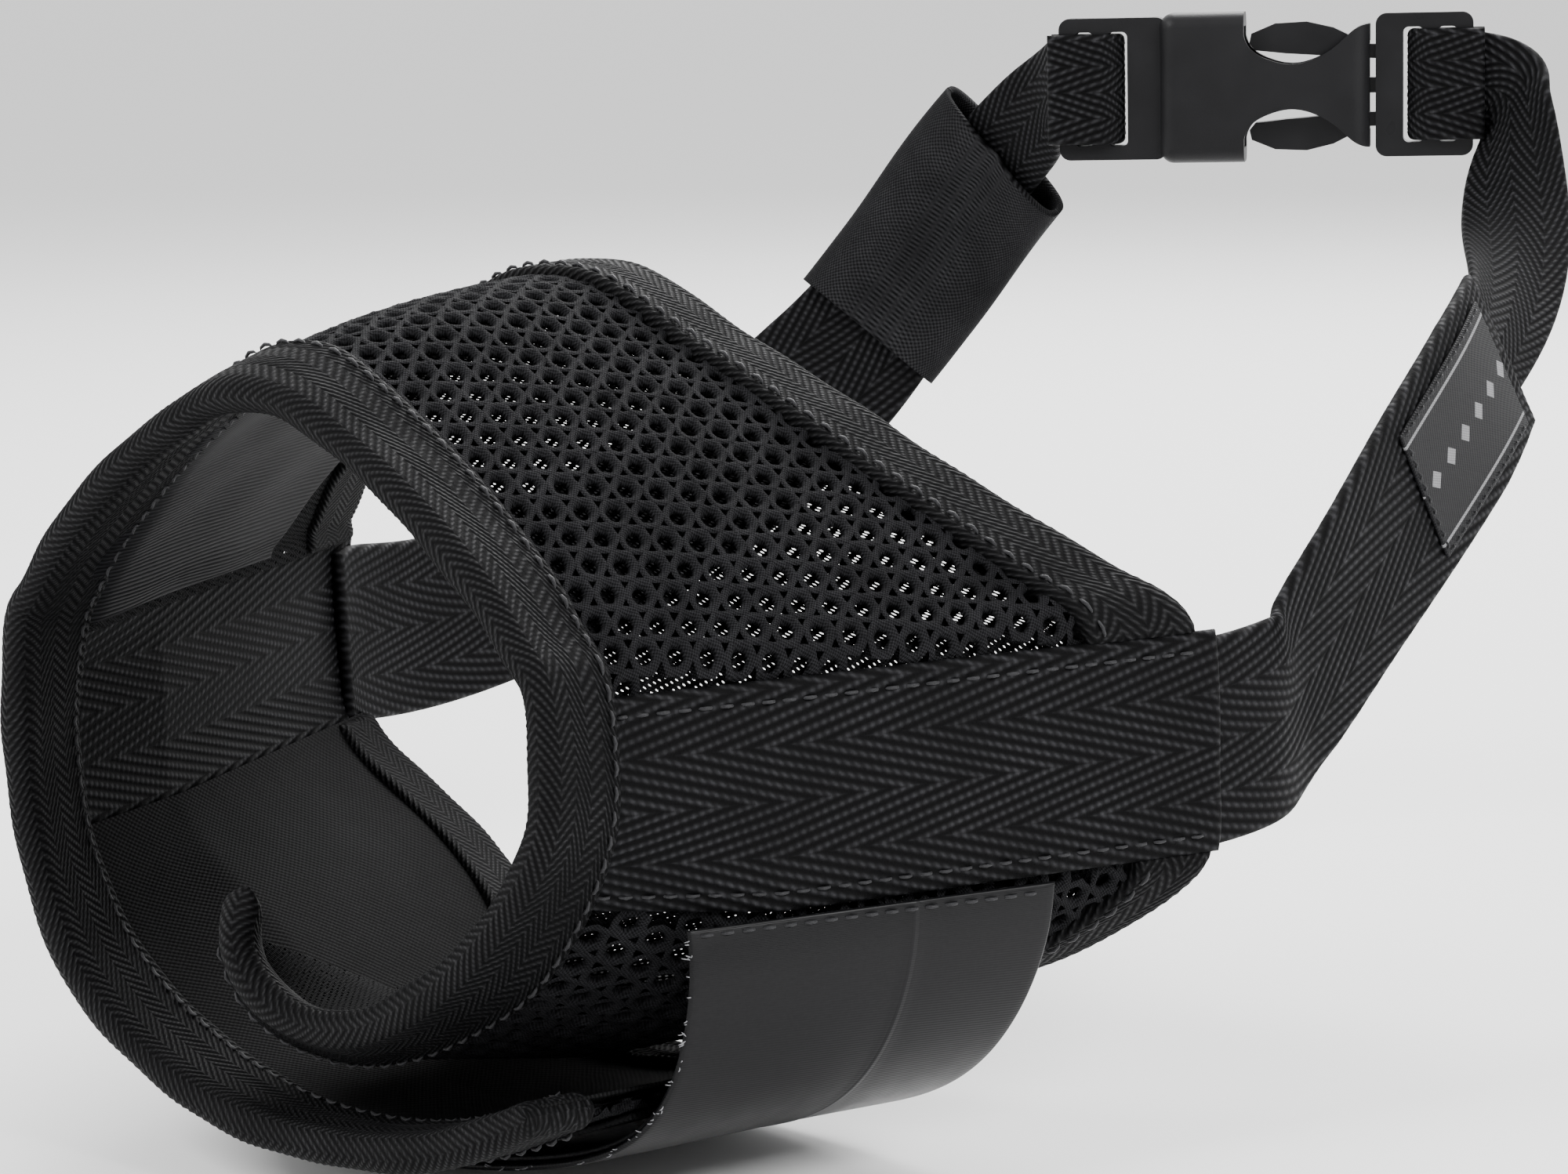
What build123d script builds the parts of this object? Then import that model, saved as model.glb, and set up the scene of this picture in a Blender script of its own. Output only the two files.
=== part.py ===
"""Soft wrap-around dog muzzle with a buckled neck loop, in millimetres.

The nose opening lies in the plane y = 0 with its centre at the origin.
+Y runs back towards the neck, +Z is up (bridge of the nose) and +X is the dog's left.
"""
from build123d import *
import os

# Muzzle body -------------------------------------------------------------
SIDE_LENGTH = 84.0          # nose lip to the rear end of a side webbing
LIP_HALF_WIDTH = 44.3       # middle of the wall at the nose lip
FLARE = 0.41                # widening of each side for every mm towards the rear
FLARE_START = 12.0
LIP_CREST = 43.3            # height of the bridge at the nose lip
CREST_RISE = 11.0           # how much the bridge climbs towards the rear
CREST_RUN = 22.0
CREST_LENGTH = 60.0         # nose lip to the rear edge, measured on the bridge
FABRIC = 2.4                # spacer mesh
TAPE = 4.4                  # folded binding over the mesh edge
GROOVE = 2.8                # room inside a folded binding
LIP_DEPTH = 4.0             # solid part of the front binding, ahead of the fabric
REAR_TAPE_WIDTH = 10.0

# Webbing -------------------------------------------------------------------
WEB_TOP = 11.0
WEB_LOW = -14.0
WEB_THICK = 1.6
WIDE_STRAP = 25.0
NARROW_STRAP = 15.0
STRAP_THICK = 1.5

# Hook-and-loop closure under the chin -----------------------------------
TAB_FRONT = 18.0
TAB_REAR = 62.0
TAB_THICK = 0.8
PILE_THICK = 0.7

# Side-release buckle ------------------------------------------------------
SWING_X = 73.4              # upright fold line of the left neck strap
SWING_Y = 85.3
BUCKLE_X = 9.0
BUCKLE_Y = 190.0
BUCKLE_Z = 70.0
HOUSING_LENGTH = 30.0
HOUSING_WIDTH = 21.5
HOUSING_THICK = 9.0
CAVITY_WIDTH = 17.4
CAVITY_THICK = 5.4
WALL_END = 2.4
PRONG_THICK = 3.6
GUIDE_THICK = 3.0

os.makedirs("parts", exist_ok=True)


def save(piece, name):
    """Label a finished piece and write its STEP file."""
    piece.part.label = name
    export_step(piece.part, "parts/" + name + ".step")


# Shape of the wall ----------------------------------------------------------
def half_width(y):
    """Half width of the body at a distance y behind the nose lip."""
    return LIP_HALF_WIDTH + FLARE * max(y - FLARE_START, 0.0)


def crest(y):
    """Height of the bridge at a distance y behind the nose lip."""
    return LIP_CREST + CREST_RISE * (1 - 2.718281828 ** (-y / CREST_RUN))


def arch(y):
    """Points over the bridge from the left webbing to the right one."""
    wide = half_width(y)
    tall = crest(y) - WEB_TOP
    bow = 1.27 + 0.13 * 2.718281828 ** (-y / 8)
    shares = [0.985, 0.93, 0.84, 0.72, 0.58, 0.42, 0.26, 0.10]
    left = [(wide * c, WEB_TOP + tall * (1 - c**bow) ** (1 / bow)) for c in shares]
    return left + [(-x, z) for x, z in reversed(left)]


LEFT_FLAP_FRONT = [(44.2, 3), (42.3, -4), (37.8, -10), (31, -17), (22.5, -23.2), (13, -27.6),
                   (4, -28), (-2.5, -25), (-5.2, -19.5), (-2.5, -13.5)]
LEFT_FLAP_SEAM = [(44.6, 3), (43.1, -5), (40.2, -11.5), (33.6, -20.5), (25, -26.3), (15.5, -31),
                  (5.5, -34), (-5, -34), (-14, -30.6), (-18.3, -23.5)]
LEFT_FLAP_BACK = [(1.0, 3), (1.0, -6), (0.995, -14), (0.93, -21.5), (0.80, -27.5), (0.62, -32),
                  (0.42, -35.2), (0.20, -37), (-0.03, -37), (-0.23, -34.5)]
RIGHT_FLAP_FRONT = [(-44.3, 3), (-44.4, -5), (-43, -14), (-39, -24.5), (-32, -33), (-20, -39.5),
                    (-5, -42.8), (10, -42.8), (25, -40.4), (41, -33.5)]
RIGHT_FLAP_BACK = [(-1.0, 3), (-1.0, -6), (-0.98, -14), (-0.875, -20.5), (-0.72, -26), (-0.50, -34),
                   (-0.21, -42.2), (0.14, -45), (0.48, -41.8), (0.78, -36.5)]
SEAM_Y = 11.0
BACK_Y = 30.0


def between(first, second, share):
    """Blend two lists of points."""
    return [(a + (c - a) * share, b + (d - b) * share) for (a, b), (c, d) in zip(first, second)]


def flaps(y):
    """Points of the left and the right lower flap, each from its webbing down."""
    wide = half_width(max(y, BACK_Y))
    left_back = [(c * wide, z) for c, z in LEFT_FLAP_BACK]
    right_back = [(c * wide, z) for c, z in RIGHT_FLAP_BACK]
    if y < SEAM_Y:
        right_seam = between(RIGHT_FLAP_FRONT, right_back, SEAM_Y / BACK_Y)
        share = y / SEAM_Y
        left = between(LEFT_FLAP_FRONT, LEFT_FLAP_SEAM, share)
        return left, between(RIGHT_FLAP_FRONT, right_seam, share)
    if y < BACK_Y:
        left = between(LEFT_FLAP_SEAM, left_back, (y - SEAM_Y) / (BACK_Y - SEAM_Y))
        return left, between(RIGHT_FLAP_FRONT, right_back, y / BACK_Y)
    return left_back, right_back


def wall_line(y):
    """The whole wall in section: left flap end, left side, bridge, right side, right flap end."""
    left, right = flaps(y)
    return left[::-1] + arch(y) + right


def strip(points, thickness, shift=0.0):
    """Draw a closed strip of even thickness along a smooth line through the points."""
    with BuildLine() as outline:
        centre = Spline(*points, mode=Mode.PRIVATE)
        count = 2 * len(points)
        places = [centre.position_at(i / count) for i in range(count + 1)]
        sides = [centre.tangent_at(i / count).rotate(Axis.Z, 90) for i in range(count + 1)]
        outer = [p + s * (shift + thickness / 2) for p, s in zip(places, sides)]
        inner = [p + s * (shift - thickness / 2) for p, s in zip(places, sides)]
        Spline(*outer)
        Line(outer[-1], inner[-1])
        Spline(*inner[::-1])
        Line(inner[0], outer[0])
    make_face(outline.edges())


def wall(thickness, stations, line=wall_line, lip=None, shift=0.0):
    """A wall of even thickness lofted through sections along the muzzle."""
    with BuildPart() as shell:
        for y in stations:
            with BuildSketch(Plane.XZ.offset(-y)):
                strip(line(y), lip if lip and y == stations[0] else thickness, shift)
        loft(ruled=True)
    return shell.part


STATIONS = [SEAM_Y, 20.0, BACK_Y, 48.0, 66.0, SIDE_LENGTH]


def top_edge(x):
    """Rear edge of the bridge panel seen from above."""
    return CREST_LENGTH + (SIDE_LENGTH - CREST_LENGTH) * (min(abs(x), 75) / 75) ** 2.5


LOW_EDGE_LEFT = [(SIDE_LENGTH, -13), (82, -17.5), (75, -25), (68, -31), (64, -38), (62.5, -47), (62, -56)]
LOW_EDGE_RIGHT = [(SIDE_LENGTH, -13), (83.8, -19), (83, -26), (79, -33), (71, -39), (64, -45), (62, -56)]


def trim_top(back, front=None):
    """Keep what lies between two lines that follow the rear edge of the bridge panel."""
    xs = [-80, -70, -60, -48, -34, -18, 0, 18, 34, 48, 60, 70, 80]
    rear = [(x, top_edge(x) - back) for x in xs]
    fore = [(x, top_edge(x) - front if front else -5) for x in xs]
    with BuildSketch(Plane.XY.offset(WEB_TOP + 0.3)) as region:
        with BuildLine() as outline:
            Spline(*rear)
            Line(rear[-1], fore[-1])
            Spline(*fore[::-1])
            Line(fore[0], rear[0])
        make_face(outline.edges())
    extrude(region.sketch, amount=60, mode=Mode.INTERSECT)


def trim_low(edge, back, front=None):
    """Keep what lies between two lines that follow the rear edge of a lower flap."""
    rear = [(y - back, z) for y, z in edge]
    fore = [(y - front if front else -5, z) for y, z in edge]
    with BuildSketch(Plane.YZ) as region:
        with BuildLine() as outline:
            Spline(*rear)
            Line(rear[-1], fore[-1])
            Spline(*fore[::-1])
            Line(fore[0], rear[0])
        make_face(outline.edges())
    extrude(region.sketch, amount=90, both=True, mode=Mode.INTERSECT)
    with BuildSketch(Plane.XY.offset(WEB_LOW - 0.3)) as below:
        Rectangle(200, 220)
    extrude(below.sketch, amount=-60, mode=Mode.INTERSECT)


fabric = wall(FABRIC, [LIP_DEPTH + 0.3] + STATIONS)
groove = wall(GROOVE, STATIONS)
tape = wall(TAPE, STATIONS)
webbing = wall(WEB_THICK, [LIP_DEPTH + 0.3] + STATIONS)


# Binding round the nose opening ------------------------------------------
with BuildPart() as front_binding:
    add(wall(TAPE, [0.0, 2.0, LIP_DEPTH, SEAM_Y], lip=2.6))
    add(wall(GROOVE, [LIP_DEPTH, SEAM_Y, SEAM_Y + 2]), mode=Mode.SUBTRACT)
save(front_binding, "front_binding")

# Bridge panel and its rear binding ---------------------------------------
with BuildPart() as top_mesh_panel:
    add(fabric)
    trim_top(back=1.6)
save(top_mesh_panel, "top_mesh_panel")

with BuildPart() as groove_top:
    add(groove)
    trim_top(back=1.1)

with BuildPart() as top_rear_binding:
    add(tape)
    trim_top(back=0.0, front=REAR_TAPE_WIDTH)
    add(groove_top.part, mode=Mode.SUBTRACT)
save(top_rear_binding, "top_rear_binding")

# Side webbings -------------------------------------------------------------
for side, name in ((1, "side_webbing_left"), (-1, "side_webbing_right")):
    with BuildPart() as side_webbing:
        add(webbing)
        with BuildSketch(Plane.XY.offset(WEB_LOW)):
            with Locations((side * 65, 50)):
                Rectangle(70, 100)
        extrude(amount=WEB_TOP - WEB_LOW, mode=Mode.INTERSECT)
    save(side_webbing, name)

# Lower flaps: the left one curls inside, the right one passes under it -----
for order, (side, edge) in enumerate((("right", LOW_EDGE_RIGHT), ("left", LOW_EDGE_LEFT))):
    with BuildPart() as flap_fabric:
        add(fabric)
        trim_low(edge, back=1.6)
    with BuildPart() as lower_panel:
        add(flap_fabric.solids().sort_by(Axis.X)[order])
    save(lower_panel, "lower_panel_" + side)

    with BuildPart() as groove_low:
        add(groove)
        trim_low(edge, back=1.1)
    with BuildPart() as flap_tape:
        add(tape)
        trim_low(edge, back=0.0, front=REAR_TAPE_WIDTH)
        add(groove_low.part, mode=Mode.SUBTRACT)
    with BuildPart() as lower_binding:
        add(flap_tape.solids().sort_by(Axis.X)[order])
    save(lower_binding, "lower_rear_binding_" + side)

# Hook-and-loop closure under the chin ------------------------------------
TAB_SECTIONS = {
    TAB_FRONT: [(48.9, -15), (49.2, -20), (48.0, -27.5), (44.4, -35.5), (36.8, -42.2), (24, -46.5),
                (8, -49), (-8, -49.6), (-20, -49)],
    TAB_REAR: [(66.4, -15.4), (65.2, -22), (61.5, -30.5), (55, -38.5), (45, -44.3), (30, -47.9),
               (12, -49.5), (-6, -49.9), (-20, -49.2)],
}


def tab_line(y):
    """Section of the tab from its sewn edge down and under the chin."""
    share = (y - TAB_FRONT) / (TAB_REAR - TAB_FRONT)
    return between(TAB_SECTIONS[TAB_FRONT], TAB_SECTIONS[TAB_REAR], share)


def pile_line(y):
    """The part of the tab line that carries the hooks."""
    return tab_line(y)[3:]


def patch_line(y):
    """Outer face of the right flap, where the loop patch is sewn."""
    return flaps(y)[1][5:]


with BuildPart() as hook_tab_backing:
    add(wall(TAB_THICK, [TAB_FRONT, TAB_REAR], line=tab_line))
save(hook_tab_backing, "hook_tab_backing")

with BuildPart() as hook_pile:
    add(wall(PILE_THICK, [TAB_FRONT + 1, TAB_REAR - 1], line=pile_line,
             shift=-(TAB_THICK + PILE_THICK) / 2 - 0.1))
save(hook_pile, "hook_pile")

with BuildPart() as loop_patch:
    add(wall(PILE_THICK, [TAB_FRONT, BACK_Y, 50.0], line=patch_line,
             shift=(FABRIC + PILE_THICK) / 2 + 0.45))
save(loop_patch, "loop_patch")


# Neck straps -----------------------------------------------------------------
def ribbon(stations, thickness, pieces, shift=0.0, start=0.0, end=1.0):
    """A flat strap through stations of (point, edge direction, width), twisting as they say.

    start and end are shares of the strap's own length, and shift moves it off its face.
    """
    points = [Vector(*place) for place, _, _ in stations]
    with BuildLine(mode=Mode.PRIVATE) as route:
        Spline(*points)
    path = route.edges()[0]
    marks = [path.param_at_point(p) for p in points]
    with BuildPart() as strap:
        for i in range(pieces + 1):
            u = start + (end - start) * i / pieces
            k = max(j for j in range(len(marks) - 1) if marks[j] <= u + 1e-6)
            share = (u - marks[k]) / (marks[k + 1] - marks[k])
            edge = Vector(*stations[k][1]) * (1 - share) + Vector(*stations[k + 1][1]) * share
            width = stations[k][2] * (1 - share) + stations[k + 1][2] * share
            along = path.tangent_at(u)
            across = (edge - along * edge.dot(along)).normalized()
            face = along.cross(across)
            plane = Plane(path.position_at(u) + face * shift, x_dir=across, z_dir=along)
            with BuildSketch(plane):
                Rectangle(width, thickness)
        loft(ruled=True)
    return strap.part


UP = (0, 0, 1)
LEFT_WIDE = [
    ((73.6, 86.6, -2.5), UP, WIDE_STRAP),
    ((73.8, 95.0, -1.2), UP, WIDE_STRAP),
    ((72.8, 103.0, 2.0), (0.04, -0.08, 1), WIDE_STRAP),
    ((72.6, 115.0, 10.8), (0.02, -0.35, 0.93), WIDE_STRAP),
    ((71.2, 131.0, 21.0), (-0.06, -0.50, 0.86), WIDE_STRAP),
    ((68.2, 149.5, 30.8), (-0.10, -0.55, 0.82), WIDE_STRAP),
    ((64.4, 162.5, 36.6), (-0.12, -0.58, 0.80), 22.0),
]
LEFT_NARROW = [
    ((63.9, 163.8, 37.3), (-0.14, -0.60, 0.78), NARROW_STRAP),
    ((58.8, 176.5, 43.6), (-0.45, -0.68, 0.55), NARROW_STRAP),
    ((52.0, 188.0, 50.6), (-0.70, -0.62, 0.05), NARROW_STRAP),
    ((44.5, 197.0, 58.5), (-0.65, -0.45, -0.50), NARROW_STRAP),
    ((41.0, 201.0, 64.6), (-0.40, -0.25, -0.88), NARROW_STRAP),
]
RIGHT_WIDE = [
    ((-73.7, 86.2, -2.5), UP, WIDE_STRAP),
    ((-75.2, 98.0, -3.6), UP, WIDE_STRAP),
    ((-75.0, 118.0, -1.5), (-0.03, 0.05, 1), WIDE_STRAP),
    ((-72.6, 140.0, 5.0), (-0.15, -0.1, 0.98), WIDE_STRAP),
    ((-67.6, 159.0, 14.5), (-0.35, -0.25, 0.90), 25.0),
    ((-61.0, 173.0, 25.5), (-0.55, -0.38, 0.74), 24.0),
    ((-53.8, 181.0, 37.5), (-0.63, -0.41, 0.66), 21.5),
]
RIGHT_NARROW = [
    ((-53.2, 181.5, 38.5), (-0.63, -0.41, 0.66), NARROW_STRAP),
    ((-48.8, 184.0, 45.0), (-0.62, -0.40, 0.68), NARROW_STRAP),
    ((-39.6, 184.8, 55.8), (-0.55, -0.35, 0.76), NARROW_STRAP),
    ((-28.5, 181.5, 64.0), (-0.30, -0.2, 0.93), NARROW_STRAP),
    ((-22.6, 179.9, 67.8), (-0.10, 0.0, 1), NARROW_STRAP),
]
KEEPER_FROM = 0.36
KEEPER_TO = 0.83

with BuildPart() as neck_strap_left_wide:
    add(ribbon(LEFT_WIDE, STRAP_THICK, 14))
save(neck_strap_left_wide, "neck_strap_left_wide")

with BuildPart() as woven_label:
    add(ribbon([(place, edge, 19.0) for place, edge, _ in LEFT_WIDE], 0.5, 3,
               shift=(STRAP_THICK + 0.5) / 2 + 0.1, start=0.56, end=0.90))
save(woven_label, "woven_label")

with BuildPart() as neck_strap_left_narrow:
    add(ribbon(LEFT_NARROW, STRAP_THICK, 10))
save(neck_strap_left_narrow, "neck_strap_left_narrow")

with BuildPart() as neck_strap_right_wide:
    add(ribbon(RIGHT_WIDE, STRAP_THICK, 14))
save(neck_strap_right_wide, "neck_strap_right_wide")

with BuildPart() as neck_strap_right_narrow:
    add(ribbon(RIGHT_NARROW, STRAP_THICK, 10))
save(neck_strap_right_narrow, "neck_strap_right_narrow")

keeper_route = RIGHT_WIDE[4:] + RIGHT_NARROW[1:]
with BuildPart() as strap_keeper:
    add(ribbon([(place, edge, 25.5) for place, edge, _ in keeper_route], 5.4, 6,
               start=KEEPER_FROM, end=KEEPER_TO))
    add(ribbon([(place, edge, 23.3) for place, edge, _ in keeper_route], 3.2, 8,
               start=KEEPER_FROM - 0.05, end=KEEPER_TO + 0.05), mode=Mode.SUBTRACT)
save(strap_keeper, "strap_keeper")


# Side-release buckle ---------------------------------------------------------
reach = Vector(BUCKLE_X - SWING_X, BUCKLE_Y - SWING_Y)
ALONG = Vector(reach.Y, -reach.X).normalized()      # the male half slides in along this line
FACE = ALONG.cross(Vector(0, 0, 1))                  # the buckle's inner face looks this way
BUCKLE = Plane((BUCKLE_X, BUCKLE_Y, BUCKLE_Z), x_dir=ALONG, z_dir=FACE)
PLAN = Plane((BUCKLE_X, BUCKLE_Y, BUCKLE_Z), x_dir=ALONG, z_dir=(0, 0, 1))
MOUTH = HOUSING_LENGTH / 2
MOUTH_HALF = 6.3
BITE = [(-2.9, 12), (-2.9, 7.4), (-1.7, 5.2), (0.6, 3.9), (3.9, 3.2), (8.2, 4.4), (10.8, 6.2),
        (12.3, 7.6), (15.2, 8.8), (15.2, 12)]
PRONG = [(18.6, 3.6), (10.0, 4.2), (3.0, 4.7), (-1.4, 5.2), (-2.2, 6.2), (-1.9, 7.6), (1.5, 9.0),
         (6.0, 9.2), (9.8, 8.3), (12.0, 7.2), (11.9, 5.9), (18.6, 5.8)]
FRAME_HALF = 10.2
FRAME_THICK = 5.0
SLOT_LONG = 16.4
LADDER = [(19.7, 22.6), (24.6, 27.4)]                # slots, measured from the buckle's middle
FRAME_END = 29.6


def ladder_slots(side):
    """Cut the two strap slots of a ladder lock."""
    for near, far in LADDER:
        with BuildSketch(BUCKLE.offset(-10)) as slot:
            with Locations((side * (near + far) / 2, 0)):
                RectangleRounded(far - near, SLOT_LONG, 0.8)
        extrude(slot.sketch, amount=20, mode=Mode.SUBTRACT)


def frame(start, side):
    """The flat frame that carries a ladder lock."""
    with BuildSketch(BUCKLE.offset(-FRAME_THICK / 2)) as plate:
        with Locations((side * (start + FRAME_END) / 2, 0)):
            RectangleRounded(FRAME_END - start, 2 * FRAME_HALF, 1.6)
    extrude(plate.sketch, amount=FRAME_THICK)


with BuildPart() as buckle_housing:
    with BuildSketch(BUCKLE.offset(-HOUSING_THICK / 2)):
        RectangleRounded(HOUSING_LENGTH, HOUSING_WIDTH, 2.0)
    extrude(amount=HOUSING_THICK)
    rims = buckle_housing.edges().filter_by(lambda e: abs(e.tangent_at(0.5).dot(ALONG)) > 0.99)
    fillet(rims, 2.4)
    frame(MOUTH - 1.0, -1)
    ladder_slots(-1)
    with BuildSketch(BUCKLE.offset(-CAVITY_THICK / 2)) as cavity:
        with Locations(((WALL_END + BITE[7][0] - MOUTH) / 2, 0)):
            Rectangle(BITE[7][0] + MOUTH - WALL_END, CAVITY_WIDTH)
        with Locations((MOUTH, 0)):
            Rectangle(8, 2 * MOUTH_HALF)
    extrude(cavity.sketch, amount=CAVITY_THICK, mode=Mode.SUBTRACT)
    for turn in (1, -1):
        with BuildSketch(BUCKLE.offset(-10)) as bite:
            with BuildLine() as outline:
                rim = [(x, turn * y) for x, y in BITE]
                Polyline(rim[0], rim[1])
                Spline(*rim[1:9])
                Polyline(rim[8], rim[9], rim[0])
            make_face(outline.edges())
        extrude(bite.sketch, amount=20, mode=Mode.SUBTRACT)
save(buckle_housing, "buckle_housing")

with BuildPart() as buckle_male_frame:
    frame(MOUTH + 0.8, 1)
    ladder_slots(1)
    with BuildSketch(BUCKLE.offset(-GUIDE_THICK / 2)) as guide:
        with Locations((MOUTH - 8.0, 0)):
            RectangleRounded(20.0, 2.2, 1.0)
    extrude(guide.sketch, amount=GUIDE_THICK)
    with BuildSketch(BUCKLE.offset(-PRONG_THICK / 2 - 0.3)) as roots:
        with Locations((17.4, 4.7), (17.4, -4.7)):
            Rectangle(3.6, 3.0)
    extrude(roots.sketch, amount=PRONG_THICK + 0.6, mode=Mode.SUBTRACT)
save(buckle_male_frame, "buckle_male_frame")

for turn, name in ((1, "buckle_prong_upper"), (-1, "buckle_prong_lower")):
    with BuildPart() as buckle_prong:
        with BuildSketch(BUCKLE.offset(-PRONG_THICK / 2)) as arm:
            with BuildLine() as outline:
                Polyline(*[(x, turn * y) for x, y in PRONG], close=True)
            make_face(outline.edges())
        extrude(arm.sketch, amount=PRONG_THICK)
    save(buckle_prong, name)

# Strap ends wrapped round the ladder bars ------------------------------------
WRAP_FACE = 3.4                                      # strap centre line, off the frame's middle
for side, name in ((1, "strap_wrap_left"), (-1, "strap_wrap_right")):
    with BuildPart() as strap_wrap:
        with BuildSketch(PLAN.offset(-NARROW_STRAP / 2)) as section:
            with BuildLine() as outline:
                FilletPolyline((side * 30.6, -WRAP_FACE), (side * 21.15, -WRAP_FACE),
                               (side * 21.15, WRAP_FACE), (side * 30.6, WRAP_FACE), radius=1.3)
            trace(outline.edges(), line_width=STRAP_THICK - 0.1)
        extrude(section.sketch, amount=NARROW_STRAP)
    save(strap_wrap, name)
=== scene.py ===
# %% [markdown]
# # A soft dog muzzle, sewn from mesh, tape and webbing
#
# The real thing is a wrap of spacer mesh bound with herringbone tape. A webbing runs along each
# side and carries on as a neck strap, which closes in a side-release buckle. The lower flaps
# overlap under the chin and a hook tab holds them. The working shape is already made elsewhere:
# this lesson loads it as a fixed frame and sews the cloth that is seen on top of it.
# %% Load the frame
import bpy
import numpy as np
from mathutils import Matrix, Vector


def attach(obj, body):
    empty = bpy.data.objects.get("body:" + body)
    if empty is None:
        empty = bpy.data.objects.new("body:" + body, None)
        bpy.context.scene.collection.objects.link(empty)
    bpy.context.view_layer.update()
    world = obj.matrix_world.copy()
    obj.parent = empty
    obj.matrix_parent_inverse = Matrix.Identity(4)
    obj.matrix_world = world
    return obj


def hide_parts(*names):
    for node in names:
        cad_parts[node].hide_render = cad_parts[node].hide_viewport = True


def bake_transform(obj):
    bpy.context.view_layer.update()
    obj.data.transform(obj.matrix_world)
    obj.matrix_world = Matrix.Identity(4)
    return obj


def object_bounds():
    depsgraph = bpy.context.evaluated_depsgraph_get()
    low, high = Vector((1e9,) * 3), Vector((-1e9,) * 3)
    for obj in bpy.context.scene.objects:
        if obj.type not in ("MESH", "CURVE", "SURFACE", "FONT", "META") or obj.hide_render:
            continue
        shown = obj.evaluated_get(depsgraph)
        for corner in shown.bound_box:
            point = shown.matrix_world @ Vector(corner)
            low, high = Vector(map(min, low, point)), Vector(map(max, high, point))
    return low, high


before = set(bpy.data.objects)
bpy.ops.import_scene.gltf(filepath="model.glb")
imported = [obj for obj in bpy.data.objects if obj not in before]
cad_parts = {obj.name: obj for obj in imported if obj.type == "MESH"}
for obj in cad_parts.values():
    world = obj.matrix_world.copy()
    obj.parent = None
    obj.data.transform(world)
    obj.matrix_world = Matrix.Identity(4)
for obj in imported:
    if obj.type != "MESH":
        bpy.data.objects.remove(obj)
cad_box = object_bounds()
MM = 0.001

# %% [markdown]
# ## Camera, floor and light
#
# A long lens from the front left sees the nose opening, the bridge and the buckle at once. Black
# cloth needs large soft lights: their reflection in each thread is what shows the weave, so
# panels of light stand on three sides and a bright world fills the rest.
# %% Camera
EYE_TURN = np.radians(41.0)
EYE_RISE = np.radians(9.0)
EYE_ROLL = np.radians(-1.3)
EYE_DISTANCE = 480.0
EYE_TARGET = np.array([36.5, 50.0, 18.0])
back = np.array([np.sin(EYE_TURN) * np.cos(EYE_RISE), -np.cos(EYE_TURN) * np.cos(EYE_RISE),
                 np.sin(EYE_RISE)])
right = np.array([np.cos(EYE_TURN), np.sin(EYE_TURN), 0.0])
up = np.cross(back, right)
rolled = right * np.cos(EYE_ROLL) + up * np.sin(EYE_ROLL)
lens = bpy.data.cameras.new("camera")
lens.sensor_width = 36.0
lens.lens = 94.5
lens.clip_start = 0.01
camera = bpy.data.objects.new("camera", lens)
bpy.context.collection.objects.link(camera)
camera.matrix_world = Matrix.Translation(Vector((EYE_TARGET + EYE_DISTANCE * back) * MM)) @ Matrix(
    (rolled, np.cross(back, rolled), back)).transposed().to_4x4()
bpy.context.scene.camera = camera
print("camera at", [round(v, 3) for v in camera.location])


# %% [markdown]
# The real studio is a white table with big soft boxes. Square area lights stand in for the boxes,
# since small lights would draw hard sparkles on the tape.
# %% Lights and floor
def area_light(name, place, aim, size, power):
    """A square panel of light at place, in metres, facing aim."""
    lamp = bpy.data.lights.new(name, "AREA")
    lamp.size = size
    lamp.energy = power
    panel = bpy.data.objects.new(name, lamp)
    bpy.context.collection.objects.link(panel)
    panel.location = place
    panel.rotation_euler = (Vector(aim) - Vector(place)).to_track_quat("-Z", "Y").to_euler()


FLOOR_HALF = 40.0           # metres: the floor's edge stays out of sight
FLOOR_GAP = 0.0012          # metres under the lowest solid
area_light("key_light", (-0.35, -0.75, 0.85), (0, 0.05, 0), 0.5, 15)
area_light("side_light", (0.85, 0.10, 0.65), (0.05, 0.08, 0.02), 0.4, 11)
area_light("back_light", (-0.3, 0.95, 0.85), (0, 0.10, 0.03), 0.8, 22)
world = bpy.data.worlds.new("studio")
bpy.context.scene.world = world
world.use_nodes = True
floor_z = cad_box[0].z - FLOOR_GAP
floor_mesh = bpy.data.meshes.new("floor")
floor_corners = [(x * FLOOR_HALF, y * FLOOR_HALF, floor_z) for x, y in ((-1, -1), (1, -1), (1, 1), (-1, 1))]
floor_mesh.from_pydata(floor_corners, [], [(0, 1, 2, 3)])
floor = bpy.data.objects.new("floor", floor_mesh)
bpy.context.collection.objects.link(floor)

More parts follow.
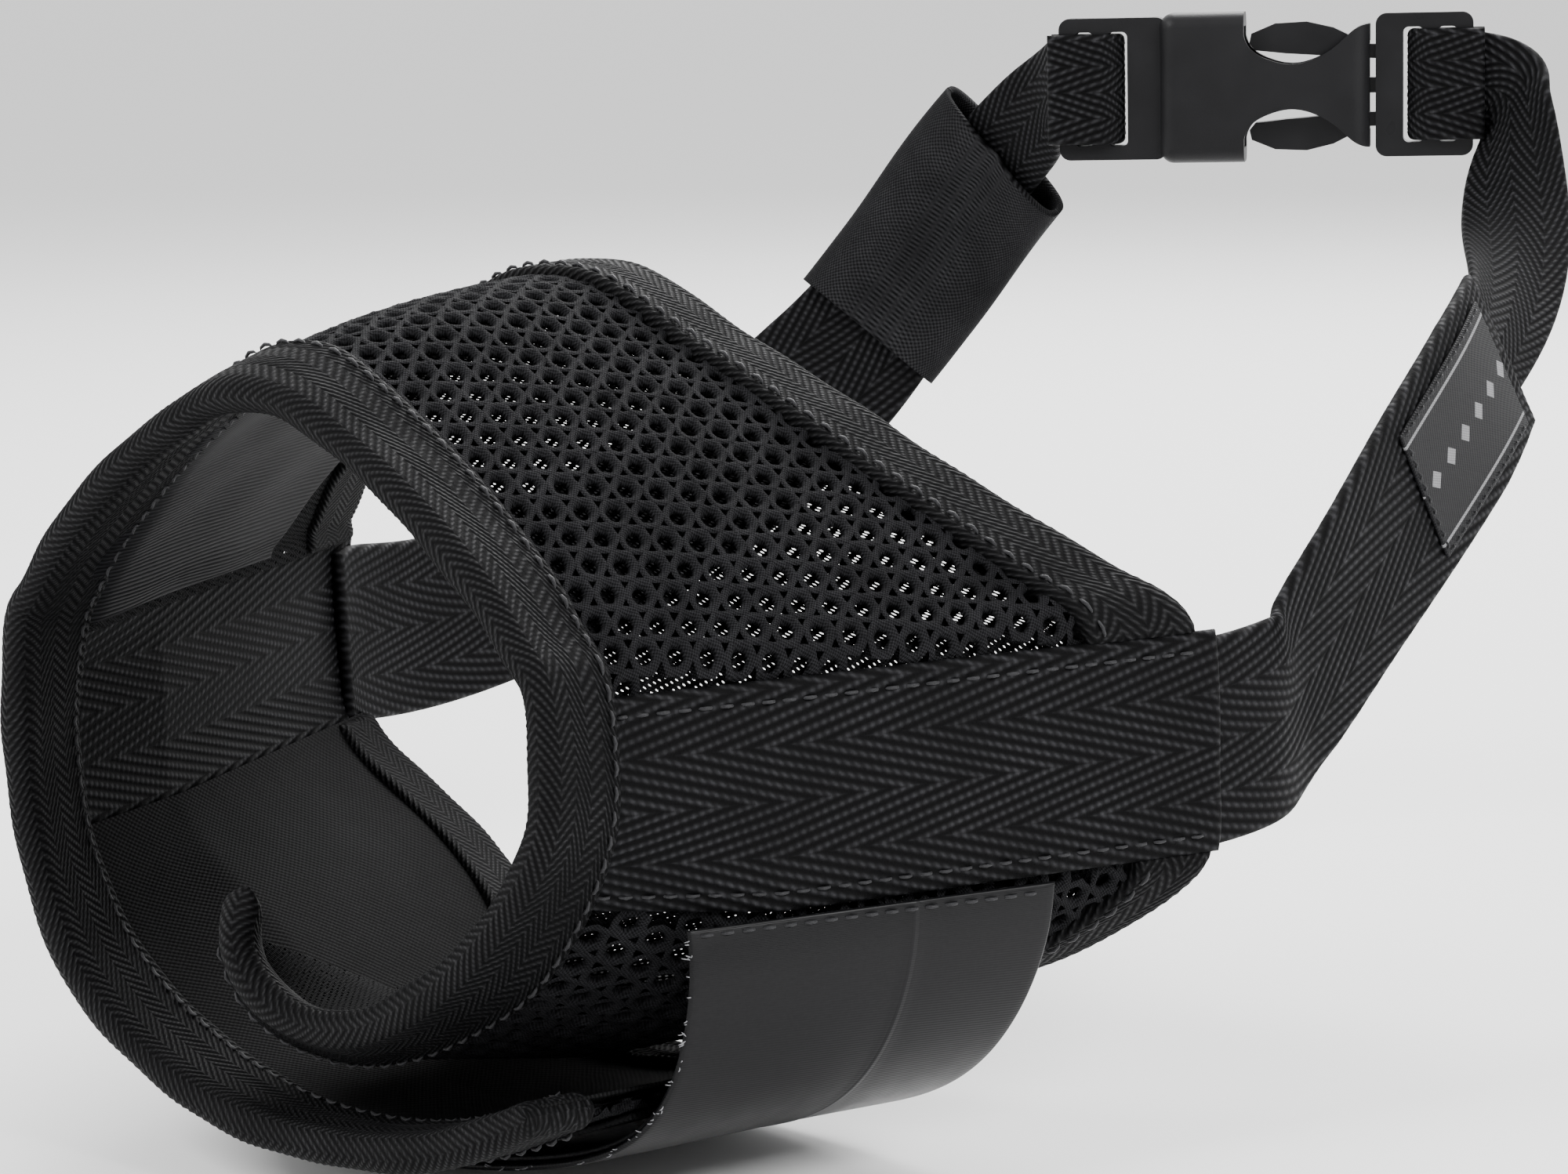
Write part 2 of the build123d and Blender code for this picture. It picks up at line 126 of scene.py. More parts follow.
# %% [markdown]
# ## Writing shader maths as Python
#
# A weave is arithmetic on the cloth's own UV map, which holds millimetres along and across each
# piece. Node trees of sums are hard to read, so one small class wraps a socket and lets an
# expression such as `(along * 2 + across).sin()` add its own Math nodes.
# %% Sockets as numbers
class Wire:
    """A socket that can be used in Python expressions; each operator adds one Math node."""

    def __init__(self, tree, socket):
        self.tree = tree
        self.socket = socket

    def math(self, kind, *values):
        node = self.tree.nodes.new("ShaderNodeMath")
        node.operation = kind
        for entry, value in zip(node.inputs, values):
            join(self.tree, entry, value)
        return Wire(self.tree, node.outputs[0])

    def __add__(self, other): return self.math("ADD", self, other)
    def __radd__(self, other): return self.math("ADD", other, self)
    def __sub__(self, other): return self.math("SUBTRACT", self, other)
    def __rsub__(self, other): return self.math("SUBTRACT", other, self)
    def __mul__(self, other): return self.math("MULTIPLY", self, other)
    def __rmul__(self, other): return self.math("MULTIPLY", other, self)
    def __pow__(self, other): return self.math("POWER", self, other)
    def sin(self): return self.math("SINE", self)
    def abs(self): return self.math("ABSOLUTE", self)
    def above(self, other): return self.math("GREATER_THAN", self, other)
    def most(self, other): return self.math("MAXIMUM", self, other)
    def sway(self, half): return self.math("PINGPONG", self, half)
    def clip(self): return self.math("MAXIMUM", self.math("MINIMUM", self, 1.0), 0.0)


def join(tree, entry, value):
    """Link a Wire to a node's input, or set a plain value on it."""
    if isinstance(value, Wire):
        tree.links.new(value.socket, entry)
    elif isinstance(value, tuple) and len(value) == 3 and entry.type == "RGBA":
        entry.default_value = (*value, 1.0)
    else:
        entry.default_value = value


COLOUR_A, COLOUR_B, COLOUR_RESULT = 6, 7, 2     # the colour sockets of a Mix node


class Finish:
    """A material with a Principled shader and the piece's UV map in millimetres."""

    def __init__(self, name, **fixed):
        self.material = bpy.data.materials.new(name)
        self.material.use_nodes = True
        self.tree = self.material.node_tree
        self.shader = self.tree.nodes["Principled BSDF"]
        for entry, value in fixed.items():
            join(self.tree, self.shader.inputs[entry.replace("_", " ")], value)
        self.along = self.node("ShaderNodeSeparateXYZ", {}, {"Vector": self.coords("UV")}, "X")
        self.across = Wire(self.tree, self.along.socket.node.outputs["Y"])

    def node(self, kind, settings, values, output=0):
        """Add any node: its settings first, then the values or links of its sockets."""
        node = self.tree.nodes.new(kind)
        for key, value in settings.items():
            setattr(node, key, value)
        for entry, value in values.items():
            join(self.tree, node.inputs[entry], value)
        return Wire(self.tree, node.outputs[output])

    def noise(self, size, detail=2.0, rough=0.5):
        """Noise whose blotches are about size millimetres across, from 0 to 1."""
        values = {"Vector": self.coords("Object"), "Scale": 1000.0 / size, "Detail": detail,
                  "Roughness": rough}
        return self.node("ShaderNodeTexNoise", {}, values, "Fac")

    def coords(self, kind):
        """The piece's own coordinates: "UV" in millimetres, or "Object" in metres."""
        return self.node("ShaderNodeTexCoord", {}, {}, kind)

    def colour(self, share, low, high):
        """A colour between low and high; share is from 0 to 1."""
        values = {"Factor": share, COLOUR_A: low, COLOUR_B: high}
        return self.node("ShaderNodeMix", {"data_type": "RGBA"}, values, COLOUR_RESULT)

    def finish(self, colour=None, roughness=None, relief=None, depth=0.1, alpha=None):
        """Link what varies over the surface; depth is the relief's height in millimetres."""
        if colour is not None:
            join(self.tree, self.shader.inputs["Base Color"], colour)
        if roughness is not None:
            join(self.tree, self.shader.inputs["Roughness"], roughness)
        if alpha is not None:
            join(self.tree, self.shader.inputs["Alpha"], alpha)
        if relief is not None:
            values = {"Height": relief, "Distance": depth * MM, "Strength": 1.0}
            join(self.tree, self.shader.inputs["Normal"], self.node("ShaderNodeBump", {}, values, "Normal"))
        return self.material


# %% [markdown]
# ## Cloth finishes
#
# Everything is black polyester, so the finishes differ in weave, sheen and gloss more than in
# colour. Herringbone is diagonal rows of thread crowns whose slope changes sign in every band;
# each crown catches a point of light, and the valleys stay almost black. That light is painted
# into the colour: a painted highlight on each crown and painted shade in the valleys.
# %% Herringbone webbing and tape
TURN = 2 * np.pi


def herringbone(name, band, row, crown, lean, dark=(0.0007, 0.0007, 0.0009), light=(0.042, 0.042, 0.046)):
    """Rows every `row` mm that lean by `lean` and turn back every `band` mm, with crowns along them."""
    cloth = Finish(name, Specular_IOR_Level=0.08)
    fold = cloth.across.sway(band)
    rows = ((fold + cloth.along * lean) * (TURN / row)).sin() * 0.5 + 0.5
    beads = ((cloth.along * (TURN / crown)) + (cloth.across * (2.1 / crown))).sin() * 0.5 + 0.5
    height = rows * (beads * 0.45 + 0.55)
    sheen_blotches = cloth.noise(9.0)
    fuzz = cloth.noise(0.25)
    # Painted highlight and shade: the base colour is light on the thread crowns and near black in the
    # valleys. The 9 mm blotches make the painted highlight stronger or weaker in patches.
    shade = ((height ** 2.0) * (sheen_blotches * 0.9 + 0.15) * (fuzz * 0.9 + 0.35)).clip()
    return cloth.finish(colour=cloth.colour(shade, dark, light), roughness=0.72 - height * 0.18,
                        relief=height + fuzz * 0.35, depth=0.16)


# Each weave's light colour is the painted highlight on its crowns, and its dark colour is the painted shade
# in its valleys.
WEBBING = herringbone("herringbone_webbing", 6.25, 1.30, 1.15, 0.27)
NARROW_WEBBING = herringbone("herringbone_narrow_webbing", 3.75, 1.10, 0.95, 0.45)
TAPE = herringbone("herringbone_tape", 2.6, 1.05, 0.62, 0.80, light=(0.034, 0.034, 0.036))
print("weaves:", WEBBING.name, NARROW_WEBBING.name, TAPE.name)


# %% [markdown]
# Knits are loops in crossed rows. The inner net is knitted so open that light comes through
# it, so its shader has pores; geometry that small would take millions of faces.
# %% Knits, lining and pile
def knit(name, pitch, dark, light, pores=None):
    """Fine knitted loops in crossed rows; pores=(pitch, share) leaves a net of tiny openings."""
    cloth = Finish(name, Roughness=0.75, Specular_IOR_Level=0.06)
    loops = (cloth.along * (TURN / pitch)).sin() * (cloth.across * (TURN / pitch)).sin() * 0.5 + 0.5
    fuzz = cloth.noise(0.3)
    # Painted highlight and shade: the colour follows the loops' relief, light on each loop's crown and dark
    # between the loops.
    shade = (loops * (fuzz + 0.2) * (cloth.noise(7.0) + 0.3)).clip()
    alpha = None
    if pores:
        step, share = pores
        slanted = cloth.across + cloth.along * 0.5
        grid = (cloth.along * (TURN / step)).sin() * (slanted * (TURN / step)).sin()
        alpha = 1 - (grid + fuzz * 0.35).above(share)
    return cloth.finish(colour=cloth.colour(shade, dark, light), relief=loops + fuzz * 0.5, depth=0.12,
                        alpha=alpha)


# Each knit's light colour is the painted highlight on its loop crowns, and its dark colour is the painted
# shade between them.
MESH_YARN = knit("mesh_yarn", 0.42, (0.0010, 0.0010, 0.0012), (0.030, 0.030, 0.033))
NET = knit("inner_net", 0.5, (0.0015, 0.0015, 0.0015), (0.020, 0.020, 0.022), pores=(1.05, 0.62))
# Loop pile for the patch. Its darker colour is also used as painted shade on the right lining.
PILE_AND_LINING_SHADE = knit("loop_pile_and_lining_shade", 0.8, (0.0015, 0.0015, 0.0015), (0.016, 0.016, 0.017))
SLEEVE = knit("plain_weave_sleeve", 0.75, (0.002, 0.002, 0.0023), (0.046, 0.046, 0.049))


# %% [markdown]
# The facing inside the bridge is a ribbed satin. Its gloss follows the ribs, so roughness
# comes from the same wave as the relief, and so does a painted sheen that lightens the colour on each rib.
# %% Satin
def satin():
    """Lining with fine ribs that run across it and a soft gloss."""
    cloth = Finish("satin_lining", Specular_IOR_Level=0.08)
    ribs = (cloth.across * (TURN / 0.85)).sin() * 0.5 + 0.5
    # Painted sheen: the colour is lighter on each rib's crown and darker between the ribs, in broad
    # patches.
    shade = (ribs * (cloth.noise(12.0) + 0.3)).clip()
    return cloth.finish(colour=cloth.colour(shade, (0.0008, 0.0008, 0.0010), (0.014, 0.014, 0.016)),
                        roughness=0.62 - ribs * 0.14, relief=ribs, depth=0.10)


SATIN = satin()


# %% [markdown]
# The tab's coated back, the hooks and the buckle are smooth next to cloth: little or no weave,
# a lower roughness and a fine grain from the mould.
# %% Tab back, hooks, threads and moulded plastic
def tab_back():
    """The smooth coated back of hook tape: semi-gloss, with a faint straight grain."""
    cloth = Finish("hook_tape_back", Specular_IOR_Level=0.16)
    grain = (cloth.across * (TURN / 0.45)).sin() * 0.5 + 0.5
    crease = 1 - ((cloth.along - 27.5).abs() * 2.2).clip()
    shade = (cloth.noise(0.5) * 0.4 + crease * 0.35).clip()
    return cloth.finish(colour=cloth.colour(shade, (0.0025, 0.0025, 0.003), (0.012, 0.012, 0.013)),
                        roughness=0.30 + cloth.noise(3.0) * 0.12, relief=grain * 0.3 + crease, depth=0.05)


def moulded(name, roughness, grain, depth):
    """Injection-moulded plastic: fine spark-eroded grain and slightly polished high spots."""
    plastic = Finish(name, Specular_IOR_Level=0.16)
    bumps = plastic.noise(grain, 3.0, 0.6)
    wear = plastic.noise(6.0)
    return plastic.finish(colour=plastic.colour(wear, (0.005, 0.005, 0.0055), (0.012, 0.012, 0.013)),
                          roughness=roughness + wear * 0.10, relief=bumps, depth=depth)


def plain_thread(name, dark, light):
    """Sewing thread: tight twist that shows as a fine grain."""
    thread = Finish(name, Roughness=0.5, Sheen_Weight=0.03, Specular_IOR_Level=0.2)
    twist = thread.noise(0.18)
    return thread.finish(colour=thread.colour(twist, dark, light), relief=twist, depth=0.05)


TAB_BACK = tab_back()
HOOKS = moulded("moulded_hooks", 0.45, 0.5, 0.2)
HOUSING = moulded("fine_grain_housing", 0.42, 0.28, 0.035)
CLIP = moulded("satin_clip", 0.24, 0.6, 0.01)
THREAD = plain_thread("black_thread", (0.002, 0.002, 0.0025), (0.036, 0.036, 0.039))
PALE_THREAD = plain_thread("pale_thread_ends", (0.10, 0.10, 0.11), (0.34, 0.34, 0.35))


# %% [markdown]
# The label is a fine jacquard. A row of small diamonds between two lines says "woven label"
# and nothing else.
# %% Label weave
def label_weave():
    """Woven label: charcoal ground with pale stripes at the edges and a row of diamonds."""
    cloth = Finish("woven_label", Roughness=0.6, Sheen_Weight=0.02, Specular_IOR_Level=0.15)
    warp = ((cloth.along * (TURN / 0.5)).sin() * (cloth.across * (TURN / 0.4)).sin()) * 0.5 + 0.5
    middle = (cloth.across - 9.5).abs()
    spread = (cloth.along + 1.3).sway(2.6) + middle * 1.1
    diamond = 1 - spread.above(1.5)
    stripe = 1 - (middle - 7.6).abs().above(0.22)
    pale = diamond.most(stripe) * (warp * 0.5 + 0.5)
    return cloth.finish(colour=cloth.colour(pale, (0.005, 0.005, 0.006), (0.30, 0.30, 0.31)),
                        relief=warp + pale, depth=0.12)


LABEL = label_weave()
# %% [markdown]
# The studio's walls are bright behind the muzzle and dimmer in front of it, so the black cloth
# stays black while light shows through the mesh.
# %% Studio walls
sky = world.node_tree
facing = Wire(sky, sky.nodes.new("ShaderNodeTexCoord").outputs["Generated"])
split = sky.nodes.new("ShaderNodeSeparateXYZ")
join(sky, split.inputs["Vector"], facing)
behind = Wire(sky, split.outputs["Y"]) * 0.75 - Wire(sky, split.outputs["X"]) * 0.65
glow = (behind * 0.6 + 0.5).clip() ** 1.5 * 1.9 + 0.42
join(sky, sky.nodes["Background"].inputs["Strength"], glow)
join(sky, sky.nodes["Background"].inputs["Color"], (1.0, 1.0, 1.0))

stage_paint = bpy.data.materials.new("pale_floor")
stage_paint.use_nodes = True
stage_paint.node_tree.nodes["Principled BSDF"].inputs["Base Color"].default_value = (0.9, 0.9, 0.9, 1)
stage_paint.node_tree.nodes["Principled BSDF"].inputs["Roughness"].default_value = 0.75
floor_mesh.materials.append(stage_paint)
print("finishes:", len(bpy.data.materials))


# %% [markdown]
# ## A smooth line through a few points
#
# Cloth hangs in smooth lines between the places where it is held. A natural cubic spline is the
# line a thin batten takes through pins, so it suits every section and strap route here, and
# solving it as one small matrix lets a whole grid be worked out at once.
# %% Spline
def spline(points, at):
    """Batten curve through points, which lie at 0, 1, 2...; at is an array of places on it.

    On each span the value is a straight blend of its ends plus ((1-t)^3-(1-t)) and (t^3-t) sixths of
    the bends at the ends, and the bends make the slope smooth at every point.
    """
    points = np.asarray(points, float)
    count = len(points)
    pins = points.reshape(count, -1)
    system = np.eye(count)
    push = np.zeros((count, count))
    inner = np.arange(1, count - 1)
    for shift, held, pulled in ((-1, 1, 6), (0, 4, -12), (1, 1, 6)):
        system[inner, inner + shift] = held
        push[inner, inner + shift] = pulled
    bend = np.linalg.solve(system, push @ pins)
    i = np.clip(np.floor(at).astype(int), 0, count - 2)
    t = (at - i)[..., None]
    s = 1 - t
    line = s * pins[i] + t * pins[i + 1] + ((s**3 - s) * bend[i] + (t**3 - t) * bend[i + 1]) / 6
    return line.reshape(np.shape(at) + points.shape[1:])


# %% [markdown]
# ## Cloth as a surface with a thickness
#
# Each piece of cloth is a surface with two measures, along and across, in millimetres. The class
# below keeps such a surface as a dense grid and answers one question for whole arrays: where is
# the point this far along, this far across and this much above the face? All pieces are then
# drawn flat, as a tailor would, and laid on it.
# %% Cloth surface
class Cloth:
    """A surface from a dense grid of points [along, across, xyz] in mm; flip turns its face over."""

    def __init__(self, grid, flip=False):
        self.grid = grid
        lengthwise = np.gradient(grid, axis=0)
        crosswise = np.gradient(grid, axis=1)
        face = np.cross(lengthwise, crosswise) * (-1 if flip else 1)
        self.face = face / np.maximum(np.linalg.norm(face, axis=2, keepdims=True), 1e-9)
        self.length = np.linalg.norm(np.diff(grid, axis=0), axis=2).sum(axis=0).mean()
        self.width = np.linalg.norm(np.diff(grid, axis=1), axis=2).sum(axis=1).mean()
        self.flip = flip

    def lay(self, a, b, lift=0.0):
        """Points at shares a along and b across, lift mm above the face: a blend of four grid points."""
        rows, columns = self.grid.shape[:2]
        x = np.clip(a, 0, 1) * (rows - 1)
        y = np.clip(b, 0, 1) * (columns - 1)
        i = np.minimum(x.astype(int), rows - 2)
        j = np.minimum(y.astype(int), columns - 2)
        s, t = (x - i)[..., None], (y - j)[..., None]

        def mix(values):
            low = values[i, j] * (1 - t) + values[i, j + 1] * t
            return low * (1 - s) + (values[i + 1, j] * (1 - t) + values[i + 1, j + 1] * t) * s

        return mix(self.grid) + mix(self.face) * np.asarray(lift)[..., None]


def ribbon(stations, rows=260, columns=17, start=0.0, end=1.0, wide=None, flip=False):
    """A strap through stations of (place, edge direction, width): a smooth route and twist."""
    place = np.array([s[0] for s in stations], float)
    edge = np.array([s[1] for s in stations], float)
    width = np.array([s[2] for s in stations], float)
    fine = np.linspace(0, len(stations) - 1, 1200)
    run = np.concatenate([[0], np.cumsum(np.linalg.norm(np.diff(spline(place, fine), axis=0), axis=1))])
    at = np.interp(np.linspace(start, end, rows) * run[-1], run, fine)
    middle = spline(place, at)
    along = np.gradient(middle, axis=0)
    along /= np.linalg.norm(along, axis=1, keepdims=True)
    across = spline(edge, at)
    across -= along * (along * across).sum(axis=1, keepdims=True)
    across /= np.linalg.norm(across, axis=1, keepdims=True)
    breadth = np.interp(at, np.arange(len(width)), width) if wide is None else np.full(rows, wide)
    share = np.linspace(-0.5, 0.5, columns)
    return Cloth(middle[:, None] + across[:, None] * (breadth[:, None] * share)[..., None], flip)


# %% [markdown]
# ## From grids to pieces
#
# A woven tape is a slab with rounded rims: two faces that meet in one line at the edge, so the
# mesh is closed. The rim is a quarter circle, height = sqrt(1 - (1 - d/r)^2) at a distance d from
# the edge. The weave is added to the height, so the threads are real and not only shading.
# %% Mesh makers
def new_piece(name, points, faces, measures, paint, slot_name, nodes=(), body="root"):
    """A smooth mesh piece from points in mm and faces; measures go to its UV map, in mm."""
    mesh = bpy.data.meshes.new(name)
    mesh.from_pydata((np.asarray(points) * MM).tolist(), [], faces.tolist())
    layer = mesh.uv_layers.new(name="weave")
    corner = np.empty(len(mesh.loops), np.int32)
    mesh.loops.foreach_get("vertex_index", corner)
    layer.data.foreach_set("uv", np.asarray(measures, np.float32)[corner].ravel())
    mesh.shade_smooth()
    mesh.materials.append(paint)
    piece = bpy.data.objects.new(name, mesh)
    bpy.context.collection.objects.link(piece)
    if body:
        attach(piece, body)
    if nodes:
        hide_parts(*nodes)
    print(f"{name}: {len(points)} points, {len(faces)} faces")
    return piece


def steps(length, step, rim):
    """Places from 0 to length: close together in the rim at each end, then every step."""
    edge = np.array([0.0, 0.06, 0.25, 0.6, 1.0]) * rim
    middle = np.linspace(rim, length - rim, max(int((length - 2 * rim) / step), 2) + 1)[1:-1]
    return np.concatenate([edge, middle, length - edge[::-1]])


def rounding(distance, rim):
    """Height of a rounded rim, from 0 at the edge to 1 inside it."""
    return np.sqrt(np.clip(1 - (1 - np.clip(distance / rim, 0, 1)) ** 2, 0, 1))


def slab(name, cloth, thick, step, paint, slot_name, relief=None, lift=0.0, under=None, **where):
    """A closed strip of cloth of even thickness, with relief(along, across) mm on its face."""
    rim = thick / 2
    x, y = np.meshgrid(steps(cloth.length, step, rim), steps(cloth.width, step, rim), indexing="ij")
    edge = np.minimum(np.minimum(x, cloth.length - x), np.minimum(y, cloth.width - y))
    full = rounding(edge, rim)
    inside = np.clip(edge / 1.2, 0, 1)
    top = lift + rim * full + (relief(x, y) * inside if relief else 0)
    low = lift - rim * full - (under(x, y) * inside if under else 0)
    upper = cloth.lay(x / cloth.length, y / cloth.width, top)
    lower = cloth.lay(x / cloth.length, y / cloth.width, low)
    rows, columns = x.shape
    front = np.arange(rows * columns).reshape(rows, columns)
    behind = front.copy()
    inner = (rows - 2, columns - 2)
    behind[1:-1, 1:-1] = rows * columns + np.arange(inner[0] * inner[1]).reshape(inner)
    points = np.concatenate([upper.reshape(-1, 3), lower[1:-1, 1:-1].reshape(-1, 3)])
    flat = np.stack([x, y], -1)
    measures = np.concatenate([flat.reshape(-1, 2), flat[1:-1, 1:-1].reshape(-1, 2)])
    faces = np.concatenate([quads(front, cloth.flip), quads(behind, not cloth.flip)])
    return new_piece(name, points, faces, measures, paint, slot_name, **where)


def quads(index, turn=False):
    """Four-sided faces over a grid of point numbers; turn makes them look the other way."""
    corners = [index[:-1, :-1], index[1:, :-1], index[1:, 1:], index[:-1, 1:]]
    return np.stack(corners[::-1] if turn else corners, -1).reshape(-1, 4)


def herringbone_height(band, row, crown, lean, tall):
    """Relief of a herringbone: the same rows and crowns as its finish, tall mm high."""
    def height(along, across):
        fold = np.abs((across + band) % (2 * band) - band)
        rows = np.sin((fold + along * lean) * TURN / row) * 0.5 + 0.5
        beads = np.sin(along * TURN / crown + across * 2.1 / crown) * 0.5 + 0.5
        return tall * rows * (0.55 + 0.45 * beads)
    return height


WEBBING_RIBS = herringbone_height(6.25, 1.30, 1.15, 0.27, 0.20)
NARROW_RIBS = herringbone_height(3.75, 1.10, 0.95, 0.45, 0.17)
TAPE_RIBS = herringbone_height(2.6, 1.05, 0.62, 0.80, 0.14)

# %% [markdown]
# ## The muzzle's wall
#
# One line goes round the whole wall in section: from the left flap's end under the chin, up the
# left webbing, over the bridge and down to the right flap's end. Every panel, webbing and binding
# is a part of the surface which that line sweeps from the nose to the neck, so they all meet.
# %% Wall line
SIDE_LENGTH = 84.0
WEB_TOP = 11.0
WEB_LOW = -14.0
SEAM_Y = 11.0
BACK_Y = 30.0
CREST_LENGTH = 60.0
LEFT_FLAP_FRONT = [(44.2, 3), (42.3, -4), (37.8, -10), (31, -17), (22.5, -23.2), (13, -27.6),
                   (4, -28), (-2.5, -25), (-5.2, -19.5), (-2.5, -13.5)]
LEFT_FLAP_SEAM = [(44.6, 3), (43.1, -5), (40.2, -11.5), (33.6, -20.5), (25, -26.3), (15.5, -31),
                  (5.5, -34), (-5, -34), (-14, -30.6), (-18.3, -23.5)]
LEFT_FLAP_BACK = [(1.0, 3), (1.0, -6), (0.995, -14), (0.93, -21.5), (0.80, -27.5), (0.62, -32),
                  (0.42, -35.2), (0.20, -37), (-0.03, -37), (-0.23, -34.5)]
RIGHT_FLAP_FRONT = [(-44.3, 3), (-44.4, -5), (-43, -14), (-39, -24.5), (-32, -33), (-20, -39.5),
                    (-5, -42.8), (10, -42.8), (25, -40.4), (41, -33.5)]
RIGHT_FLAP_BACK = [(-1.0, 3), (-1.0, -6), (-0.98, -14), (-0.875, -20.5), (-0.72, -26), (-0.50, -34),
                   (-0.21, -42.2), (0.14, -45), (0.48, -41.8), (0.78, -36.5)]
LOW_EDGE = {1: [(84, -13), (82, -17.5), (75, -25), (68, -31), (64, -38), (62.5, -47), (62, -56)],
            -1: [(84, -13), (83.8, -19), (83, -26), (79, -33), (71, -39), (64, -45), (62, -56)]}
ARCH_SHARES = np.array([0.985, 0.93, 0.84, 0.72, 0.58, 0.42, 0.26, 0.10])


def half_width(y):
    """44.3 mm at the lip, and 0.41 mm more for every mm behind y = 12."""
    return 44.3 + 0.41 * np.maximum(y - 12.0, 0)


def wall_points(y):
    """The section's points for an array of y: shape (len(y), 36, 2), as x and z.

    The bridge is a superellipse, (x/wide)^bow + (z/tall)^bow = 1, above the webbings' top.
    """
    y = np.asarray(y, float)[:, None]
    wide = half_width(y)
    tall = 43.3 + 11.0 * (1 - np.exp(-y / 22.0)) - WEB_TOP
    bow = 1.27 + 0.13 * np.exp(-y / 8)
    x = wide * ARCH_SHARES
    z = WEB_TOP + tall * (1 - ARCH_SHARES**bow) ** (1 / bow)
    bridge = np.stack([np.concatenate([x, -x[:, ::-1]], 1), np.concatenate([z, z[:, ::-1]], 1)], -1)
    spread = np.stack([half_width(np.maximum(y, BACK_Y)), np.ones_like(y)], -1)
    to_seam = np.clip(y / SEAM_Y, 0, 1)[..., None]
    past_seam = np.clip((y - SEAM_Y) / (BACK_Y - SEAM_Y), 0, 1)[..., None]
    to_back = np.clip(y / BACK_Y, 0, 1)[..., None]
    front, seam, rear = (np.array(t, float) for t in (LEFT_FLAP_FRONT, LEFT_FLAP_SEAM, LEFT_FLAP_BACK))
    left = front + (seam - front) * to_seam
    left = left + (rear * spread - left) * past_seam
    front, rear = np.array(RIGHT_FLAP_FRONT, float), np.array(RIGHT_FLAP_BACK, float)
    right = front + (rear * spread - front) * to_back
    return np.concatenate([left[:, ::-1], bridge, right], 1)


WALL_Y = np.linspace(0, SIDE_LENGTH, 169)
LINE_AT = np.linspace(0, 35, 1401)
LINES = np.swapaxes(spline(np.swapaxes(wall_points(WALL_Y), 0, 1), LINE_AT), 0, 1)
print("wall sections:", LINES.shape)


def region(first, last, columns=420):
    """The part of the wall between two places on each section, evenly spread across it.

    first and last are ("end", 0) or (side, height): side +1 left, -1 right, and the height's z.
    """
    def place(line, mark):
        side, height = mark
        if side == "end":
            return float(height * (len(LINE_AT) - 1))
        span = slice(280, 560) if side > 0 else slice(840, 1121)
        order = np.argsort(line[span, 1])
        return float(np.interp(height, line[span, 1][order], np.arange(span.start, span.stop)[order]))

    rows = []
    for y, line in zip(WALL_Y, LINES):
        run = np.concatenate([[0], np.cumsum(np.hypot(*np.diff(line, axis=0).T))])
        ends = np.interp([place(line, first), place(line, last)], np.arange(len(line)), run)
        at = np.linspace(ends[0], ends[1], columns)
        rows.append(np.stack([np.interp(at, run, line[:, 0]), np.full(columns, y),
                              np.interp(at, run, line[:, 1])], -1))
    return Cloth(np.array(rows))


WHOLE = region(("end", 0), ("end", 1), columns=900)
BRIDGE = region((1, WEB_TOP), (-1, WEB_TOP))
LEFT_SIDE = region((1, WEB_LOW), (1, WEB_TOP), columns=60)
RIGHT_SIDE = region((-1, WEB_TOP), (-1, WEB_LOW), columns=60)
LEFT_FLAP = region(("end", 0), (1, WEB_LOW))
RIGHT_FLAP = region((-1, WEB_LOW), ("end", 1))
print("bridge width", round(BRIDGE.width, 1), "left flap", round(LEFT_FLAP.width, 1),
      "right flap", round(RIGHT_FLAP.width, 1))


# %% [markdown]
# The rear edges are cut on curves: the bridge is short in the middle and each flap is shorter
# under the chin. A panel is trimmed by finding, for each line along it, where it meets its curve.
# %% Rear edges
def top_edge(x):
    """y of the bridge's rear edge: 60 mm in the middle, sweeping back to 84 at the webbings."""
    return CREST_LENGTH + (SIDE_LENGTH - CREST_LENGTH) * (np.minimum(np.abs(x), 75) / 75) ** 2.5


LOW_LINE = {side: spline(edge, np.linspace(0, 6, 121))[::-1] for side, edge in LOW_EDGE.items()}


def rear_limit(points, panel):
    """How far back the cloth reaches at these points; panel is 0 for the bridge, 1 left, -1 right."""
    if panel == 0:
        return top_edge(points[..., 0])
    limit = np.interp(points[..., 2], LOW_LINE[panel][:, 1], LOW_LINE[panel][:, 0])
    if panel < 0:
        limit = limit + (np.minimum(limit, 60.0) - limit) * np.clip((points[..., 0] + 12) / 24, 0, 1)
    return limit


def trimmed(cloth, front, rear, panel, rows=160, columns=420, turn=False):
    """The part of a region from `front` mm behind the lip, or that far before its rear edge if negative,
    to `rear` mm before the rear edge. turn makes `along` run round the muzzle instead."""
    b = np.linspace(0, 1, columns)[None, :] * np.ones((rows, 1))

    def edge(back_by):
        y = np.full(b.shape, 60.0)
        for _ in range(12):
            y = 0.5 * y + 0.5 * (rear_limit(cloth.lay(y / SIDE_LENGTH, b), panel) - back_by)
        return y

    end = edge(rear)
    begin = edge(-front) if front < 0 else np.full(b.shape, float(front))
    y = begin + (end - begin) * np.linspace(0, 1, rows)[:, None]
    grid = cloth.lay(y / SIDE_LENGTH, b)
    return Cloth(np.swapaxes(grid, 0, 1), flip=True) if turn else Cloth(grid)


def part_of(cloth, span, shares, rows, columns):
    """The piece of a wall region between two y and between two shares of its width."""
    a = np.linspace(*span, rows) / SIDE_LENGTH
    return Cloth(cloth.lay(*np.meshgrid(a, np.linspace(*shares, columns), indexing="ij")))


